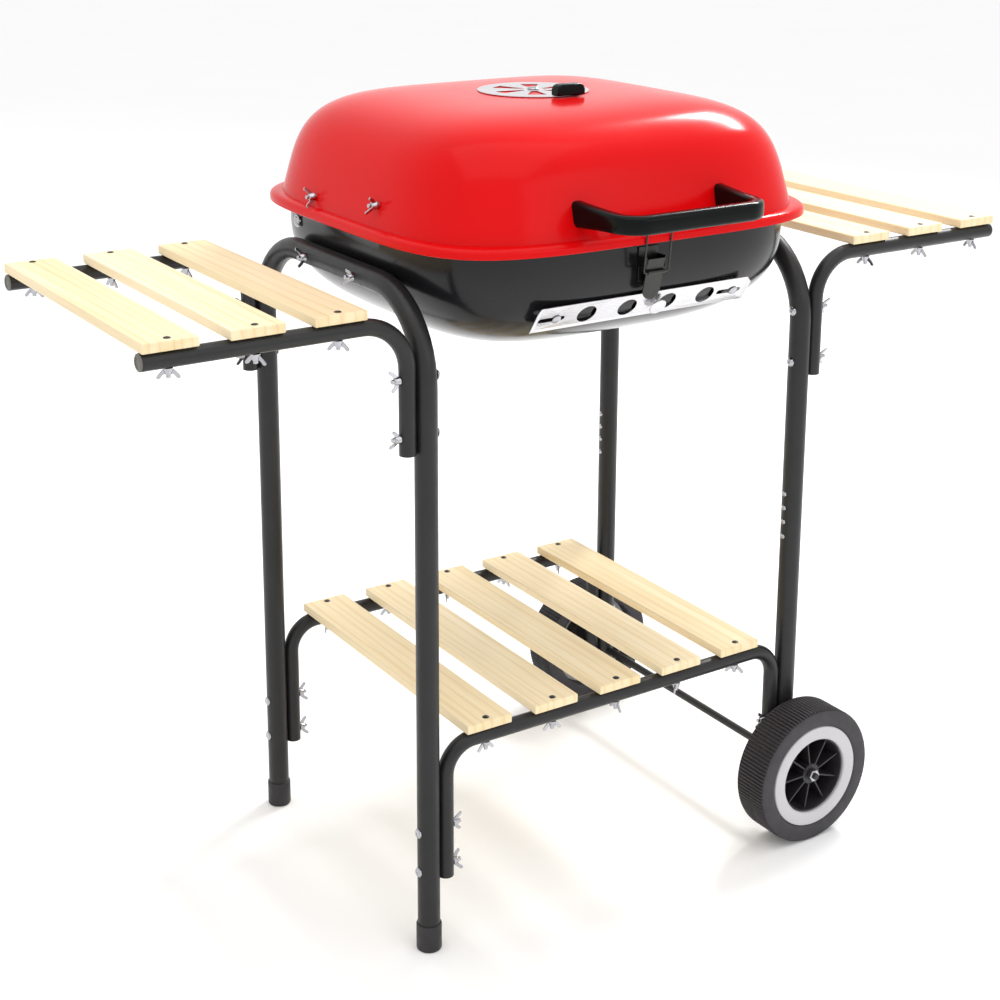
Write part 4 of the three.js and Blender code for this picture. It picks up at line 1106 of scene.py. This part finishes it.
def lid_rim():
    """The step out from the dome, the rolled edge down, and the way back up inside."""
    # (how far in from the rim, the height from the lid's base)
    outside = [
        (10, -0.1), (6.5, -0.35), (4, -0.9), (2.4, -1.8), (1, -3.2), (0.25, -4.8),
        (0, -6.2), (0, -11), (0.5, -11.5),
    ]
    inside = [(0, -11.5), (0, -6.4), (1.4, -4.2), (3.8, -3), (7, -2.4)]
    steps = outside + [(SHEET + by, down) for by, down in inside]
    return [plan_ring(shrunk(LID_RIM_HALF, by), LID_RIM_CORNER, LID_BASE + down) for by, down in steps]


def add_lid():
    cutters = Shape()
    for i in range(VENT_COUNT):
        outline = sector(VENT_TURN + (i + 0.5) * VENT_STEP)
        cutters.add(loops([[(x, y, z) for x, y in outline] for z in (LID_TOP - 20, LID_TOP + 20)]))
    shape = loops(lid_dome(0) + lid_rim() + lid_dome(SHEET)[::-1])
    make("lid_enamel", shape, "red_enamel", "lid", ["lid_shell"], cutters=cutters)


def add_vent():
    base = LID_TOP + GAP
    top = base + VENT_SHEET
    outlines = [ring(0, 0, VENT_RADIUS, 96), ring(0, 0, VENT_RIVET + GAP, 24)[::-1]]
    for i in range(VENT_COUNT):
        outlines.append(sector(VENT_TURN + i * VENT_STEP)[::-1])
    disc = flat_sheet(outlines, VENT_SHEET, 0.3).moved(Matrix.Translation((0, 0, base)))
    make("vent_plate", disc, "plated_steel", "vent", ["vent_disc"])
    profile = [
        (0, LID_TOP - 5), (VENT_RIVET, LID_TOP - 5), (VENT_RIVET, top + 0.3), (7, top + 0.3), (7, top + 1),
        (5.4, top + 2.4), (2.6, top + 3.2), (0, top + 3.2),
    ]
    make("vent_rivet_detail", lathe(profile, 40), "zinc", "lid", ["vent_rivet"])
    knob = knob_shape().moved(Matrix.Translation((KNOB_X, KNOB_Y, top + 0.2)))
    make("vent_knob_detail", knob, "black_plastic", "vent", ["vent_knob"], bevel=1.6,
         look="gloss_plastic")


def knob_shape():
    """A block whose two upper edges are cut in two facets each."""
    half, high, cut = KNOB_LENGTH / 2, KNOB_HEIGHT, KNOB_BEVEL
    right = [
        (half, 0), (half, high - cut), (half - cut * 0.35, high - cut * 0.3), (half - cut, high),
    ]
    left = [(-x, z) for x, z in reversed(right)]
    return prism((right + left)[::-1], KNOB_DEPTH)


def split(first, second, parts=6):
    """Stations that split the straight stretch between two others into equal parts."""
    (start, along), (stop, _) = first, second
    return [(start.lerp(stop, k / parts), along) for k in range(1, parts)]


def add_handle():
    """A bar on two arms that deepen towards their roots on the lid."""
    root, bar = HANDLE_SINK - LID_HALF[1], HANDLE_DEPTH / 2 - HANDLE_FRONT
    right = [(HANDLE_HALF, bar, 0), (HANDLE_HALF + HANDLE_LEAN, root, 0)]
    left = [(-x, y, z) for x, y, z in reversed(right)]
    stations = bent(left + right, HANDLE_CORNER, 10)
    spaced = stations[:1] + split(*stations[:2]) + stations[1:-1] + split(*stations[-2:]) + stations[-1:]
    outline = rounded_rectangle(HANDLE_HEIGHT, HANDLE_DEPTH, 5)
    bend_end = bar + HANDLE_STRAIGHT
    rings = []
    for place, along in spaced:
        away = min(max((place.y - bend_end) / (root - bend_end), 0), 1)
        taller = 1 + HANDLE_DEEPER * away ** 1.6
        squared = max(away * 6 - 5, 0)  # over the last sixth the section turns square to the lid
        facing = along.lerp(Y * math.copysign(1, along.y), squared).normalized()
        rings.append(section_ring(place, facing, Z, outline, (taller, 1)))
    shape = loops(rings).moved(Matrix.Translation((HANDLE_X, 0, HANDLE_Z)))
    lid = loops(lid_dome(-GAP))
    make("handle_grip", shape, "black_plastic", "lid", ["lid_handle"], bevel=0.8, cutters=lid,
         look="gloss_plastic")


# Latch

def add_latch():
    """A plate on the bowl with two ears that hold a headed pin; the lever and the wire ride on it."""
    back = -(BOWL_HALF[1] + GAP)
    low, high = LATCH_X - BRACKET_HALF, LATCH_X + BRACKET_HALF
    bracket = block((low, back - BRACKET_SHEET, BRACKET_LOW), (high, back, BRACKET_HIGH))
    for sign in (-1, 1):
        ear_low, ear_high = sorted((LATCH_X + sign * EAR_INNER, LATCH_X + sign * EAR_OUTER))
        bracket.add(block((ear_low, PIN[0] - 3.6, PIN[1] - 6), (ear_high, back, PIN[1] + 6)))
    half = [(1.8, 13.6), (2.8, 13.8), (2.8, 14.6), (2.4, 15), (0, 15)]
    pin = lathe([(radius, -reach) for radius, reach in reversed(half)] + half, 24)
    bracket.add(pin, aimed(X, (LATCH_X, *PIN)))
    make("latch_bracket_detail", bracket, "dark_wire", "stand", ["latch_bracket"], bevel=0.5)
    add_latch_lever()
    add_latch_bail()


def add_latch_lever():
    """A flat strip with a rounded lower end, hanging from a rolled eye around the pin."""
    half, tip = LEVER_HALF, LEVER_TIP
    length = math.hypot(tip[0] - PIN[0], PIN[1] - tip[1])
    hang = math.atan2(tip[0] - PIN[0], PIN[1] - tip[1])
    outline = [(half, 5), (-half, 5), (-half, half - length)]
    outline += arc(0, half - length, half, math.pi, 2 * math.pi)
    blade = flat_sheet([outline[::-1]], 1.4, 0.3)
    stand_off = Matrix.Translation((0, -2.4, 0)) @ Matrix.Rotation(math.pi / 2, 4, "X")
    lever = blade.moved(Matrix.Translation((LATCH_X, *PIN)) @ Matrix.Rotation(hang, 4, "X") @ stand_off)
    for place, inner, outer in ((PIN, 2, 2.8), (WIRE_PIN, WIRE_RADIUS + 0.3, WIRE_RADIUS + 0.9)):
        eye = lathe([(inner, -half), (outer, -half), (outer, half), (inner, half), (inner, -half)], 28)
        lever.add(eye, aimed(X, (LATCH_X, *place)))
    make("latch_lever_detail", lever, "dark_wire", "latch_lever", ["latch_lever"])


def add_latch_bail():
    """A wire loop from the lever's sides up past the lid's rim, its top hooked back over the rim."""
    low, front = Vector((LATCH_X, *WIRE_PIN)), Vector((LATCH_X, *WIRE_TOP))
    hook = Vector((LATCH_X, WIRE_TOP[0] + HOOK_REACH, WIRE_TOP[1]))
    wide, end = X * WIRE_HALF, X * (LEVER_HALF - 2)
    corners = [
        low - end, low - wide, front - wide, hook - wide,
        hook + wide, front + wide, low + wide, low + end,
    ]
    bail = wire(corners, 3, WIRE_RADIUS, X.cross(front - low).normalized())
    make("latch_bail_wire", bail, "dark_wire", "latch_bail", ["latch_wire"])


# Stage

def area_light(name, place, target, size, power):
    data = bpy.data.lights.new(name, "AREA")
    data.shape = "RECTANGLE"
    data.size, data.size_y = size
    data.energy = power
    light = bpy.data.objects.new(name, data)
    bpy.context.scene.collection.objects.link(light)
    light.location = place
    light.rotation_euler = (Vector(target) - Vector(place)).to_track_quat("-Z", "Y").to_euler()


def add_stage():
    floor = bpy.data.objects.new("floor", bpy.data.meshes.new("floor"))
    reach = FLOOR_REACH
    corners = [(-reach, -reach, 0), (reach, -reach, 0), (reach, reach, 0), (-reach, reach, 0)]
    floor.data.from_pydata(corners, [], [(0, 1, 2, 3)])
    bpy.context.scene.collection.objects.link(floor)
    paint = Nodes("floor_paint", Roughness=0.9)
    paint.color(paint.ramp(paint.noise(2, 3), [(0.3, (0.95, 0.95, 0.95)), (0.7, (0.96, 0.96, 0.96))]))
    floor.data.materials.append(paint.material)

    world = bpy.data.worlds.new("studio")
    world.use_nodes = True
    background = world.node_tree.nodes["Background"]
    background.inputs["Color"].default_value = (1, 1, 1, 1)
    background.inputs["Strength"].default_value = 1.0
    bpy.context.scene.world = world
    bpy.context.scene.view_settings.view_transform = "Standard"

    for name, light in LIGHTS.items():
        area_light(name, *light)


def add_camera():
    """The photograph's viewing angle: from the front left, a little above the lid."""
    data = bpy.data.cameras.new("camera")
    data.sensor_width = 36
    data.lens = CAMERA_LENS
    data.shift_y = CAMERA_SHIFT
    data.clip_end = 200
    camera = bpy.data.objects.new("camera", data)
    azimuth = Matrix.Rotation(CAMERA_AZIMUTH, 4, "Z")
    tilt = Matrix.Rotation(math.pi / 2 - CAMERA_ELEVATION, 4, "X")
    x, y, z = CAMERA_PLACE
    place = Matrix.Translation((x, y + SHIFT_Y, z))
    camera.matrix_world = place @ azimuth @ tilt @ Matrix.Rotation(-CAMERA_ROLL, 4, "Z")
    bpy.context.scene.collection.objects.link(camera)
    bpy.context.scene.camera = camera


def dress_cad_nodes():
    """The nodes that keep their CAD mesh get the same materials as the pieces around them."""
    for side, _ in SIDES:
        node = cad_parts[f"{side}_hinge_arm"]
        for slot in node.material_slots:
            slot.material = MATERIALS["plated_steel"]


add_frame()
add_slats()
add_wheels()
add_bowl()
add_damper()
add_grates()
add_lid()
add_vent()
add_handle()
add_latch()
add_cross_bolts()
add_fasteners()
dress_cad_nodes()
add_stage()
add_camera()
